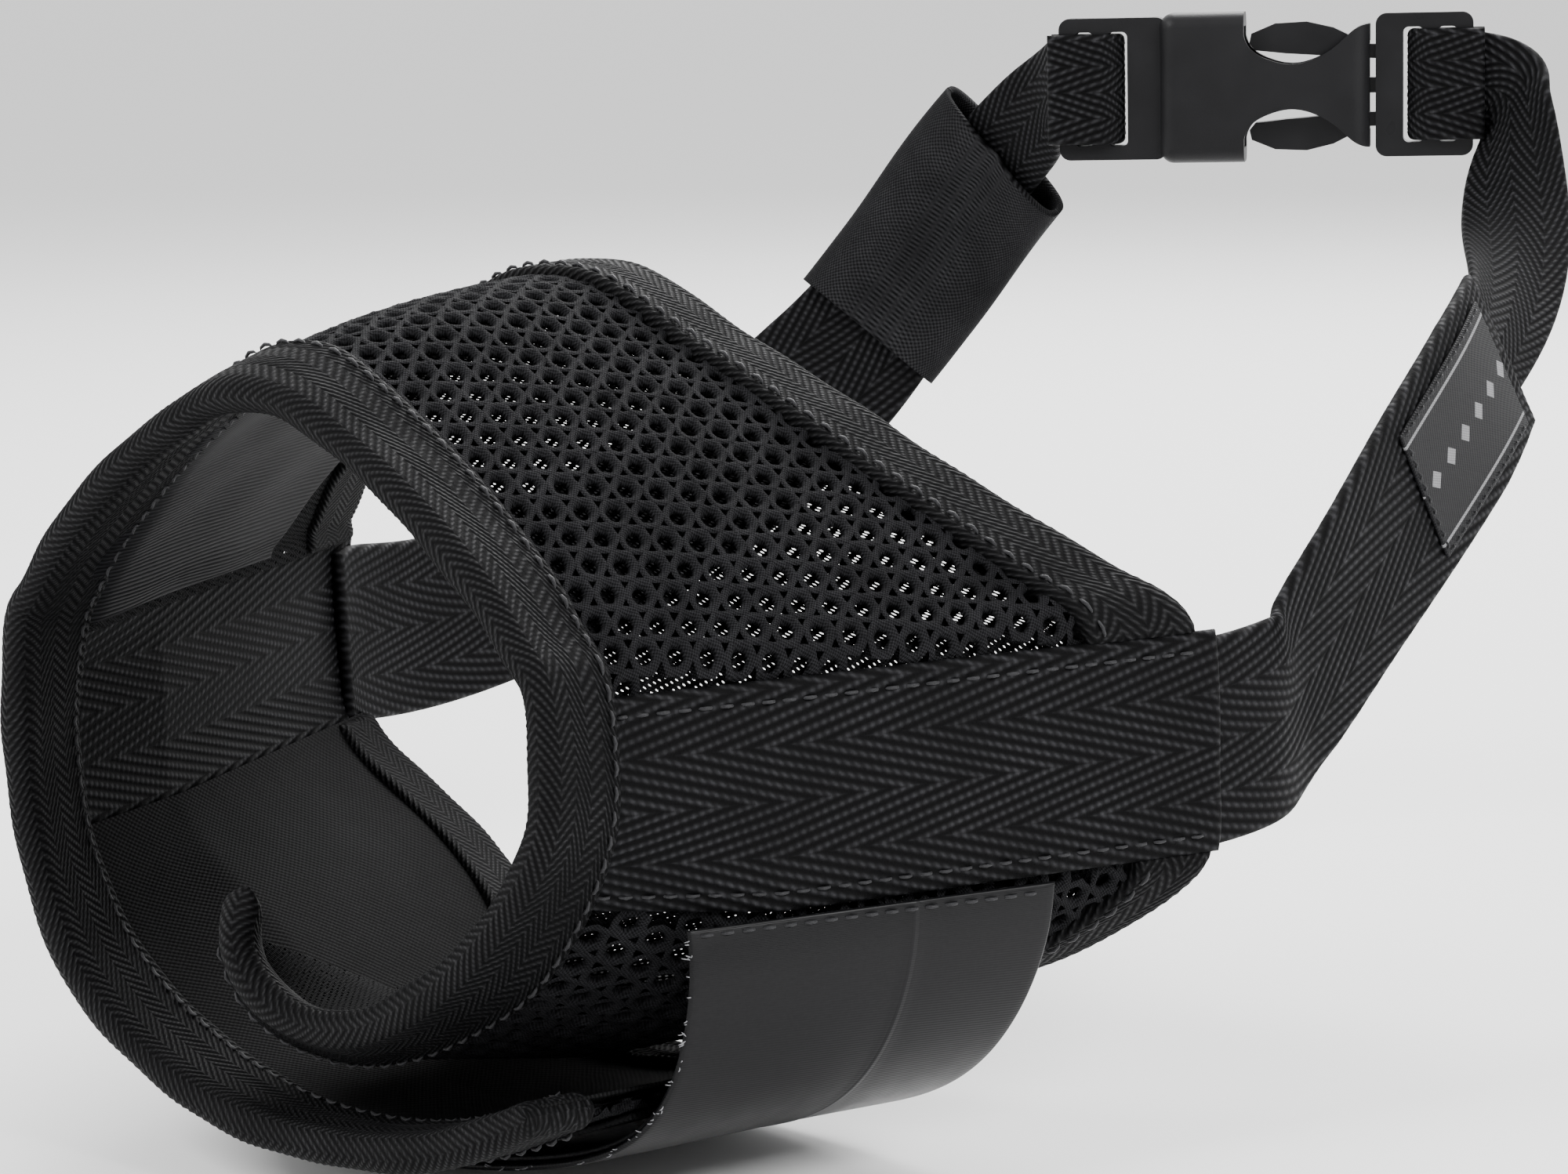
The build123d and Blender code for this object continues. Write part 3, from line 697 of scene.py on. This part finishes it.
# %% [markdown]
# ## Bindings
#
# A binding is one tape folded over a raw edge: flat on the outside, a half-round nose, flat on
# the inside. Its profile is carried along the edge as one tube, and the herringbone runs
# across the fold, which gives the ribbed look of a bound lip.
# %% Binding maker
def binding(name, cloth, node, thick=4.4, step=0.42):
    """Tape over an edge. The cloth's across runs from the seam to the fold.

    The profile is a flat at +thick/2, a half circle of that radius at the fold, and a flat at -thick/2.
    The tube is pinched flat at both ends and has no caps.
    """
    half = thick / 2
    flat = cloth.width - half
    run = np.arange(0, flat, step)
    bend = np.linspace(0, np.pi, int(np.pi * half / step) + 2)
    run = run[run > 0.5]
    out_d = np.concatenate([[0.0, 0.0, 0.15, 0.4], run])
    out_l = np.concatenate([[0.0, half - 0.9, half - 0.35, half - 0.12], np.full(len(run), half)])
    across = np.concatenate([out_d, flat + half * np.sin(bend), out_d[::-1][:-1]])
    lift = np.concatenate([out_l, half * np.cos(bend), -out_l[::-1][:-1]])
    travel = np.concatenate([[0], np.cumsum(np.hypot(np.diff(across), np.diff(lift)))])
    along = steps(cloth.length, step, half)
    x = along[:, None] * np.ones(len(across))
    ends = rounding(np.minimum(along, cloth.length - along), half)[:, None]
    weave = TAPE_RIBS(x, travel[None, :]) * np.clip(np.abs(lift) / half, 0, 1) ** 0.25
    swell = 0.10 * np.sin(x / 5.3) + 0.07 * np.sin(x / 2.1 + 1.3)
    height = lift * ends
    height = height + np.sign(lift) * ends * np.minimum(np.abs(lift), 1.0) * (weave + swell)
    forward = np.sin(np.interp(across, [flat, cloth.width], [0, np.pi / 2]))
    d = across[None, :] + ends * np.where(across > flat, weave + swell, 0) * forward
    share = x / cloth.length
    points = cloth.lay(share, np.minimum(d / cloth.width, 1.0), height)
    over = np.maximum(d - cloth.width, 0)
    outward = cloth.lay(share, np.ones_like(x)) - cloth.lay(share, np.full_like(x, 0.93))
    outward /= np.maximum(np.linalg.norm(outward, axis=2, keepdims=True), 1e-9)
    points = points + outward * over[..., None]
    count = len(across)
    index = np.arange(len(along) * count).reshape(len(along), count)
    index = np.concatenate([index, index[:, :1]], 1)
    measures = np.stack([x, np.broadcast_to(travel, x.shape)], -1).reshape(-1, 2)
    return new_piece(name, points.reshape(-1, 3), quads(index, cloth.flip), measures, TAPE, "binding",
                     nodes=[node])


lip = Cloth(np.swapaxes(part_of(WHOLE, (SEAM_Y, 0), (0, 1), 60, 900).grid, 0, 1))
binding("front_binding_tape", lip, "front_binding")
binding("top_rear_binding_tape", trimmed(BRIDGE, -10.0, 0.0, 0, turn=True), "top_rear_binding")
binding("lower_rear_binding_tape_left", trimmed(LEFT_FLAP, -10.0, 0.0, 1, turn=True),
        "lower_rear_binding_left")
binding("lower_rear_binding_tape_right", trimmed(RIGHT_FLAP, -10.0, 0.0, -1, turn=True),
        "lower_rear_binding_right")

# %% [markdown]
# ## Spacer mesh
#
# Spacer mesh is two knitted faces held apart by upright yarns. The outer face is a honeycomb of
# thick yarn with a round hole in every cell; the inner face is a fine net. A hole cut by a
# boolean would be slow and ugly, so one cell is drawn as rings of twelve points, from its
# six-sided border to the rounded rim of its hole, and repeated on a staggered grid. Cells run a
# little into each other at their corners, which gives the knots, and are open at their borders.
# %% Honeycomb maker
CELL = 4.0                  # from one hole to the next
RISE = 1.05                 # the yarn's face above the middle of the wall
HOLE = 0.47                 # the hole's radius, as a share of the way to the border
RINGS = [(1.0, 0.0), (0.88, 0.14), (0.70, 0.12), (0.54, -0.18), (HOLE, -0.75), (0.62, -1.15), (1.0, -1.2)]


def honeycomb(name, cloth, panel, node, seed):
    """Cells over a region, each of rings (share of the way out, height) of 12 points.

    Points of neighbouring cells that fall together become one; a cell is open at its border, and it
    runs a little into the next, so a panel isn't one closed mesh.
    """
    draw = np.random.default_rng(seed)
    scale = cloth.length / SIDE_LENGTH
    width = np.linalg.norm(np.diff(cloth.grid, axis=1), axis=2).sum(axis=1)
    p, q = np.meshgrid(np.arange(0, cloth.length + CELL, CELL * np.sqrt(3) / 2),
                       np.arange(-width.max() / 2 - CELL, width.max() / 2 + CELL, CELL), indexing="ij")
    q = q + (np.arange(p.shape[0]) % 2)[:, None] * CELL / 2
    angle = np.arange(12) * TURN / 12
    border = CELL / 2 / np.cos((angle + TURN / 12) % (TURN / 6) - TURN / 12)
    ring = np.array([r for r, _ in RINGS])[:, None]
    reach = np.where(ring > 0.8, ring * border, ring * border * 0.45 + ring * CELL / 2 * 0.55)
    centres = np.stack([p.ravel(), q.ravel()], -1)
    y = centres[:, 0] / scale
    b = 0.5 + centres[:, 1] / np.interp(y, WALL_Y, width)
    limit = rear_limit(cloth.lay(y / SIDE_LENGTH, b), panel)
    room = np.interp(y, WALL_Y, width)
    keep = (y > 7.5) & (y < limit - 6.5) & (np.abs(centres[:, 1]) < room / 2 - 0.6)
    centres = centres[keep]
    flat_p = centres[:, 0, None, None] + reach * np.cos(angle)
    flat_q = centres[:, 1, None, None] + reach * np.sin(angle)
    knot = np.where(np.arange(12) % 2 == 1, 0.16, 0.0)
    tall = np.array([h for _, h in RINGS])[:, None] + knot * np.clip(ring * 3 - 2, 0, 1)
    tall = np.broadcast_to(tall, flat_p.shape)
    places = np.stack([np.round(flat_p * 40), np.round(flat_q * 40),
                      np.broadcast_to(np.arange(len(RINGS))[:, None], flat_p.shape)], -1).reshape(-1, 3)
    _, first, same = np.unique(places.astype(np.int64), axis=0, return_index=True, return_inverse=True)
    same = same.ravel()
    index = same.reshape(flat_p.shape)
    index = np.concatenate([index, index[:, :, :1]], 2)
    faces = np.stack([index[:, :-1, :-1], index[:, :-1, 1:], index[:, 1:, 1:], index[:, 1:, :-1]], -1)
    fp, fq = flat_p.reshape(-1)[first], flat_q.reshape(-1)[first]
    height = RISE + tall.reshape(-1)[first] + draw.normal(0, 0.035, len(fp))
    fp = fp + draw.normal(0, 0.05, len(fp))
    fq = fq + draw.normal(0, 0.05, len(fp))
    yy = np.clip(fp / scale, 0, SIDE_LENGTH)
    wide = np.interp(yy, WALL_Y, width)
    side_room = wide / 2 - np.abs(fq)
    height = np.where(side_room < 1.2, np.minimum(height, 0.35), height)
    points = cloth.lay(yy / SIDE_LENGTH, 0.5 + fq / wide, height)
    piece = new_piece(name, points, faces.reshape(-1, 4), np.stack([fp, fq], -1), MESH_YARN, "mesh",
                      nodes=[node])


honeycomb("top_panel_honeycomb", BRIDGE, 0, "top_mesh_panel", 11)
honeycomb("lower_left_honeycomb", LEFT_FLAP, 1, "lower_panel_left", 12)
honeycomb("lower_right_honeycomb", RIGHT_FLAP, -1, "lower_panel_right", 13)


def lining(name, cloth, front, panel, paint):
    """The inner knitted face, 1 mm inside the middle of the wall."""
    sheet = trimmed(cloth, front, 1.6, panel)
    slab(name, sheet, 0.45, 1.1, paint, "mesh", lift=-1.0)


lining("top_panel_lining", BRIDGE, 3.0, 0, NET)
lining("lower_left_lining", LEFT_FLAP, 3.0, 1, NET)
# Painted shade: the right lining takes the darker loop-pile finish with no pores. It stands for the deep
# shadow inside the right flap, while the top and left linings keep the net.
lining("lower_right_lining", RIGHT_FLAP, 3.0, -1, PILE_AND_LINING_SHADE)
facing_cloth = part_of(BRIDGE, (7, 56), (0.62, 0.985), 60, 120)
facing_piece = slab("satin_facing", facing_cloth, 0.5, 0.9, SATIN, "mesh", lift=-1.65,
                    under=lambda x, y: 0.25 + 0.25 * np.sin(x / 4.1 + y / 9.0) * np.sin(y / 6.3))

# %% [markdown]
# ## Side webbings
#
# The 25 mm webbing is sewn over the joint between the bridge and the lower flap, so it stands a
# little proud of both. Its weave has four chevron bands, which are real ribs here.
# %% Webbings
for name, cloth in (("left", LEFT_SIDE), ("right", RIGHT_SIDE)):
    grid = part_of(cloth, (8.5, SIDE_LENGTH), (0, 1), 180, 60).grid
    middle = grid.mean(axis=1, keepdims=True)
    wider = middle + (grid - middle) * 1.05
    slab(f"side_webbing_{name}_weave", Cloth(wider), 1.7, 0.30, WEBBING, "webbing", relief=WEBBING_RIBS,
         under=WEBBING_RIBS, lift=0.55, nodes=[f"side_webbing_{name}"])

# %% [markdown]
# ## Chin tab
#
# The tab is 50 mm hook tape: a smooth, slightly glossy back with the hooks on its inner side. It
# is sewn along its top edge and wraps under the chin, so it is a plain thin sheet along one line.
# %% Tab, hooks and loop patch
TAB_Y = (18.0, 62.0)
TAB_FRONT = [(48.9, -15), (49.2, -20), (48.0, -27.5), (44.4, -35.5), (36.8, -42.2), (24, -46.5),
             (8, -49), (-8, -49.6), (-20, -49)]
TAB_REAR = [(66.4, -15.4), (65.2, -22), (61.5, -30.5), (55, -38.5), (45, -44.3), (30, -47.9),
            (12, -49.5), (-6, -49.9), (-20, -49.2)]


def tab_cloth(first, y_from, y_to):
    """The tab's surface from its point number `first` on: a straight blend of its two end sections."""
    at = np.linspace(first, 8, 300)
    front, rear = spline(np.array(TAB_FRONT, float), at), spline(np.array(TAB_REAR, float), at)
    share = ((np.linspace(y_from, y_to, 60) - TAB_Y[0]) / (TAB_Y[1] - TAB_Y[0]))[:, None, None]
    line = front + (rear - front) * share
    y = np.broadcast_to(np.linspace(y_from, y_to, 60)[:, None], line.shape[:2])
    return Cloth(np.stack([line[..., 0], y, line[..., 1]], -1), flip=True)


tab = tab_cloth(0, *TAB_Y)
tab_piece = slab("hook_tab_tape", tab, 0.85, 0.7, TAB_BACK, "tab_tape", nodes=["hook_tab_backing"],
                 body="hook_tab",
                 relief=lambda x, y: 0.10 * np.exp(-((x - 27.5) / 0.8) ** 2) + 0.06 * np.sin(x / 6.0))
pile = tab_cloth(3, TAB_Y[0] + 1, TAB_Y[1] - 1)
pile_piece = slab("hook_tab_hooks", pile, 0.6, 0.55, HOOKS, "hooks", lift=-0.85, nodes=["hook_pile"],
                  body="hook_tab",
                  under=lambda x, y: 0.12 * np.clip(np.sin(x * 4.2) * np.sin(y * 4.2), 0, 1))

patch = part_of(RIGHT_FLAP, (18, 50), (0.36, 0.985), 60, 160)
patch_piece = slab("loop_patch_pile", patch, 0.7, 0.6, PILE_AND_LINING_SHADE, "loops", lift=1.85, nodes=["loop_patch"],
                   relief=lambda x, y: 0.08 * np.sin(x * 5.1) * np.sin(y * 4.7))
print("tab", round(tab.length), "x", round(tab.width), "mm")

# %% [markdown]
# ## Neck straps
#
# A strap is a ribbon with a route, a twist and a width. The left one leaves its side webbing at an
# upright fold, carries the label, and ends in a narrow strap that turns half over before the
# buckle.
# %% Strap routes
UP = (0, 0, 1)
LEFT_WIDE = [
    ((72.4, 84.2, -2.0), UP, 25.0),
    ((74.0, 95.0, -1.0), UP, 25.0),
    ((72.8, 103.0, 2.0), (0.04, -0.08, 1), 25.0),
    ((72.6, 115.0, 10.8), (0.02, -0.35, 0.93), 25.0),
    ((71.2, 131.0, 21.0), (-0.06, -0.50, 0.86), 25.0),
    ((68.2, 149.5, 30.8), (-0.10, -0.55, 0.82), 25.0),
    ((64.2, 163.2, 37.0), (-0.12, -0.58, 0.80), 23.0),
]
LEFT_NARROW = [
    ((67.6, 149.5, 31.0), (-0.10, -0.55, 0.82), 15.0),
    ((63.9, 163.8, 37.3), (-0.14, -0.60, 0.78), 15.0),
    ((58.8, 176.5, 43.6), (-0.45, -0.68, 0.55), 15.0),
    ((52.0, 188.0, 50.6), (-0.70, -0.62, 0.05), 15.0),
    ((45.4, 197.0, 58.0), (-0.65, -0.45, -0.50), 15.0),
    ((42.0, 202.2, 64.6), (-0.40, -0.25, -0.88), 15.0),
    ((39.6, 204.2, 68.6), (-0.20, -0.10, -0.97), 15.0),
    ((35.1, 202.6, 70.0), (0, 0, -1), 15.0),
]
RIGHT_WIDE = [
    ((-72.4, 84.0, -2.5), UP, 25.0),
    ((-75.2, 98.0, -3.6), UP, 25.0),
    ((-75.0, 118.0, -1.5), (-0.03, 0.05, 1), 25.0),
    ((-72.6, 140.0, 5.0), (-0.15, -0.1, 0.98), 25.0),
    ((-67.6, 159.0, 14.5), (-0.35, -0.25, 0.90), 25.0),
    ((-61.0, 173.0, 25.5), (-0.55, -0.38, 0.74), 24.0),
    ((-53.8, 181.0, 37.5), (-0.63, -0.41, 0.66), 21.5),
]
RIGHT_NARROW = [
    ((-53.8, 181.0, 37.5), (-0.63, -0.41, 0.66), 15.0),
    ((-48.8, 184.0, 45.0), (-0.62, -0.40, 0.68), 15.0),
    ((-39.6, 184.8, 55.8), (-0.55, -0.35, 0.76), 15.0),
    ((-28.8, 182.0, 64.0), (-0.30, -0.2, 0.93), 15.0),
    ((-23.2, 179.9, 67.8), (-0.10, 0.0, 1), 15.0),
    ((-18.6, 177.2, 70.0), UP, 15.0),
]

strap_left = ribbon([((70.0, 78.5, -2.0), UP, 25.0)] + LEFT_WIDE)
near_wide = slab("neck_strap_left_webbing", strap_left, 1.6, 0.32, WEBBING, "webbing", relief=WEBBING_RIBS,
                 under=WEBBING_RIBS, nodes=["neck_strap_left_wide"], body=None)
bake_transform(near_wide)
slab("neck_strap_left_narrow_webbing", ribbon(LEFT_NARROW), 1.5, 0.34, NARROW_WEBBING, "webbing",
     relief=NARROW_RIBS, under=NARROW_RIBS, lift=-1.2, nodes=["neck_strap_left_narrow"],
     body="neck_strap_left")
strap_right = ribbon([((-70.0, 78.5, -2.5), UP, 25.0)] + RIGHT_WIDE, flip=True)
slab("neck_strap_right_webbing", strap_right, 1.6, 0.34, WEBBING, "webbing",
     relief=WEBBING_RIBS, under=WEBBING_RIBS, nodes=["neck_strap_right_wide"])
slab("neck_strap_right_narrow_webbing", ribbon(RIGHT_NARROW, flip=True), 1.5, 0.36, NARROW_WEBBING,
     "webbing", relief=NARROW_RIBS, under=NARROW_RIBS, nodes=["neck_strap_right_narrow"])

# %% [markdown]
# The label is sewn on the near strap's outer face, so it follows the same stations with a width
# of its own.
# %% Label
label = ribbon(LEFT_WIDE, start=0.60, end=0.95, wide=19.0, rows=120)
label_piece = slab("woven_label_cloth", label, 0.5, 0.4, LABEL, "label", lift=1.25, nodes=["woven_label"],
                   body="neck_strap_left")
print("label", round(label.length, 1), "x", round(label.width, 1), "mm")

# %% [markdown]
# ## Strap keeper
#
# A sleeve of plain weave hides the join between the wide and the narrow strap. It is a flat tube,
# so the profile is a rounded oblong, pinched in the middle where a row of stitches closes it.
# %% Keeper
KEEPER_ROUTE = RIGHT_WIDE[4:] + RIGHT_NARROW[1:5]


def sleeve(name, cloth, outer, inner, node):
    """A tube with walls: outer and inner are (width, thickness) of a rounded oblong.

    Around the tube, across = w/2 * cos^0.45 and height = t/2 * sin^0.7, signs kept.
    """
    around = np.linspace(0, TURN, 97)[:-1]
    rows = 90

    def shell(size):
        c, s = np.cos(around), np.sin(around)
        across = size[0] / 2 * np.sign(c) * np.abs(c) ** 0.45
        lift = size[1] / 2 * np.sign(s) * np.abs(s) ** 0.7
        pinch = 1 - 0.34 * np.exp(-((across / 2.2) ** 2))
        a = np.linspace(0, 1, rows)[:, None] * np.ones(len(around))
        mouth = 1 + 0.10 * np.exp(-a * 9) + 0.05 * np.exp(-(1 - a) * 9)
        wave = 0.12 * np.sin(a * cloth.length / 2.6 + across[None, :] * 0.35)
        b = 0.5 + across[None, :] / cloth.width
        height = lift[None, :] * pinch * mouth + np.sign(s) * wave
        return cloth.lay(a, np.broadcast_to(b, a.shape), height), a

    outside, a = shell(outer)
    inside, _ = shell(inner)
    points = np.concatenate([outside, inside[::-1]], 0)
    index = np.arange(points.shape[0] * points.shape[1]).reshape(points.shape[:2])
    index = np.concatenate([index, index[:, :1]], 1)
    index = np.concatenate([index, index[:1]], 0)
    x = np.concatenate([a, a[::-1]], 0) * cloth.length
    girth = np.broadcast_to(around / TURN * 2 * (outer[0] + outer[1]), x.shape)
    faces = quads(index, not cloth.flip)
    return new_piece(name, points.reshape(-1, 3), faces, np.stack([x, girth], -1).reshape(-1, 2), SLEEVE,
                     "sleeve", nodes=[node])


keeper = ribbon(KEEPER_ROUTE, start=0.36, end=0.83, wide=26.5, flip=True)
sleeve("strap_keeper_sleeve", keeper, (25.5, 5.6), (23.6, 3.8), "strap_keeper")

# %% [markdown]
# ## Buckle
#
# The moulded pieces keep their working shape and get a finish: fine matt grain on the housing and
# a satin gloss on the clip. The strap ends go round the ladder bars as square-shouldered loops.
# %% Buckle finishes and strap ends
SWING = np.array([73.4, 85.3])
BUCKLE = np.array([9.0, 190.0, 70.0])
reach = BUCKLE[:2] - SWING
ALONG = np.array([reach[1], -reach[0], 0.0]) / np.linalg.norm(reach)
FACE = np.cross(ALONG, (0, 0, 1))
for name, paint in (("buckle_housing", HOUSING), ("buckle_male_frame", CLIP),
                    ("buckle_prong_upper", CLIP), ("buckle_prong_lower", CLIP)):
    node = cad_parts[name]
    for entry in node.material_slots:
        entry.material = paint

for side, name, body in ((1, "left", "neck_strap_left"), (-1, "right", "root")):
    turn = np.linspace(-np.pi / 2, np.pi / 2, 60)
    loop_x = 24.6 - 3.5 * np.abs(np.cos(turn)) ** 0.55
    loop_n = 3.4 * np.sign(np.sin(turn)) * np.abs(np.sin(turn)) ** 0.55
    run = np.linspace(31.2, 24.8, 20)
    x = side * np.concatenate([run, loop_x, run[::-1]])
    n = np.concatenate([np.full(20, -3.4), loop_n, np.full(20, 3.4)])
    middle = BUCKLE + x[:, None] * ALONG + n[:, None] * FACE
    grid = middle[:, None] + np.linspace(-7.9, 7.9, 21)[None, :, None] * np.array([0, 0, 1.0])
    slab(f"strap_end_{name}", Cloth(grid, flip=side < 0), 1.45, 0.34, NARROW_WEBBING, "webbing",
         relief=NARROW_RIBS, nodes=[f"strap_wrap_{name}"], body=body)

# %% [markdown]
# ## Stitches
#
# Every seam is a row of lockstitches: short bars of thread that dip into the cloth at both ends.
# One bar is a six-sided tube of 24 faces with open, pinched tips sunk into the cloth, and a row
# is all its bars worked out together.
# %% Stitch maker
def stitch_row(name, starts, ends, faces_up, radius, paint, slot_name, body="root", bow=0.25):
    """Bars from starts to ends, bowed up along faces_up: rings of six points at five places."""
    share = np.array([0.0, 0.12, 0.5, 0.88, 1.0])
    fat = np.array([0.15, 0.8, 1.0, 0.8, 0.15])
    hump = np.array([-0.9, 0.1, 1.0, 0.1, -0.9])
    along = ends - starts
    length = np.linalg.norm(along, axis=1, keepdims=True)
    along = along / np.maximum(length, 1e-9)
    side = np.cross(along, faces_up)
    side /= np.linalg.norm(side, axis=1, keepdims=True)
    lift = np.cross(side, along)
    around = np.arange(6) * TURN / 6
    middle = (starts[:, None] + (ends - starts)[:, None] * share[None, :, None]
              + lift[:, None] * (hump * bow)[None, :, None])
    ring = (np.cos(around)[None, None, :, None] * side[:, None, None]
            + np.sin(around)[None, None, :, None] * lift[:, None, None])
    ring = ring * (radius * fat)[None, :, None, None]
    points = middle[:, :, None] + ring
    count = len(starts)
    index = np.arange(count * 30).reshape(count, 5, 6)
    index = np.concatenate([index, index[:, :, :1]], 2)
    faces = np.stack([index[:, :-1, :-1], index[:, :-1, 1:], index[:, 1:, 1:], index[:, 1:, :-1]], -1)
    flat = points.reshape(-1, 3)
    return new_piece(name, flat, faces.reshape(-1, 4), flat[:, :2], paint, slot_name, body=body)


def seam(name, cloth, path_a, path_b, lift, pitch=2.6, gap=0.28, radius=0.24, paint=THREAD,
         slot_name="binding", body="root", slant=0.0):
    """Stitches on a cloth along a line of shares (a, b), every pitch mm."""
    a, b = np.broadcast_arrays(np.asarray(path_a, float), np.asarray(path_b, float))
    line = cloth.lay(a, b)
    run = np.concatenate([[0], np.cumsum(np.linalg.norm(np.diff(line, axis=0), axis=1))])
    count = int(run[-1] / pitch)
    at = (np.arange(count) + 0.5) * pitch
    start, end = at - pitch * (0.5 - gap / 2), at + pitch * (0.5 - gap / 2)
    height = np.full(count, lift)

    def put(s, tip=0.0, extra=0.0):
        return cloth.lay(np.interp(s, run, a), np.interp(s, run, b) + tip, height + extra)

    lean = slant / cloth.width
    return stitch_row(name, put(start, -lean), put(end, lean), put(at, 0, 1.0) - put(at), radius, paint,
                      slot_name, body)


# %% [markdown]
# Each seam is named by its cloth and a line of shares on it, so a row stays at the same distance
# from its edge however the cloth curves.
# %% Seams
ticks = np.linspace(0.004, 0.996, 900)
seam("front_binding_seam_outer", lip, ticks, 0.13, 2.42)
seam("front_binding_seam_inner", lip, ticks, 0.13, -2.42)
top_hem = trimmed(BRIDGE, -10.0, 0.0, 0, turn=True)
seam("top_binding_seam", top_hem, ticks, 0.13, 2.40)
for name, cloth, panel in (("left", LEFT_FLAP, 1), ("right", RIGHT_FLAP, -1)):
    seam(f"lower_binding_seam_{name}", trimmed(cloth, -10.0, 0.0, panel, turn=True), ticks, 0.13, 2.40)
for name, cloth in (("left", LEFT_SIDE), ("right", RIGHT_SIDE)):
    for edge, b in (("upper", 0.93), ("lower", 0.07)):
        seam(f"webbing_seam_{name}_{edge}", cloth, np.linspace(0.13, 0.985, 400), b, 1.55,
             slot_name="webbing", radius=0.22)
seam("tab_seam", tab, np.linspace(0.02, 0.98, 200), 0.02, 0.45, slot_name="tab_tape", body="hook_tab")
seam("keeper_seam", keeper, np.linspace(0.03, 0.97, 200), 0.5, 1.95, slot_name="sleeve")
seam("label_seam_front", label, 0.02, np.linspace(0.04, 0.96, 120), 1.52, slot_name="label", radius=0.16,
     pitch=1.8, body="neck_strap_left")
for b in (0.03, 0.97):
    seam(f"label_seam_{int(b * 100):02d}", label, np.linspace(0.02, 0.98, 200), b, 1.52, slot_name="label",
         radius=0.16, pitch=1.8, body="neck_strap_left")

# %% [markdown]
# The tab was cut with a hot knife and still frays a little: short ends of pale thread stand out
# along its front edge, each at a random place and angle.
# %% Frayed ends along the tab's front edge
draw = np.random.default_rng(5)
count = 70
place = draw.uniform(0.03, 0.97, count)
root = tab.lay(np.full(count, 0.006), place, draw.uniform(-0.2, 0.3, count))
tip = root + draw.normal(0, 0.25, (count, 3)) + np.array([0, -0.9, 0]) * draw.uniform(0.3, 1.2, (count, 1))
edge = np.zeros(count)
stitch_row("tab_edge_fray", root, tip, tab.lay(edge, place, 1.0) - tab.lay(edge, place), 0.07,
           PALE_THREAD, "tab_tape", body="hook_tab", bow=0.08)
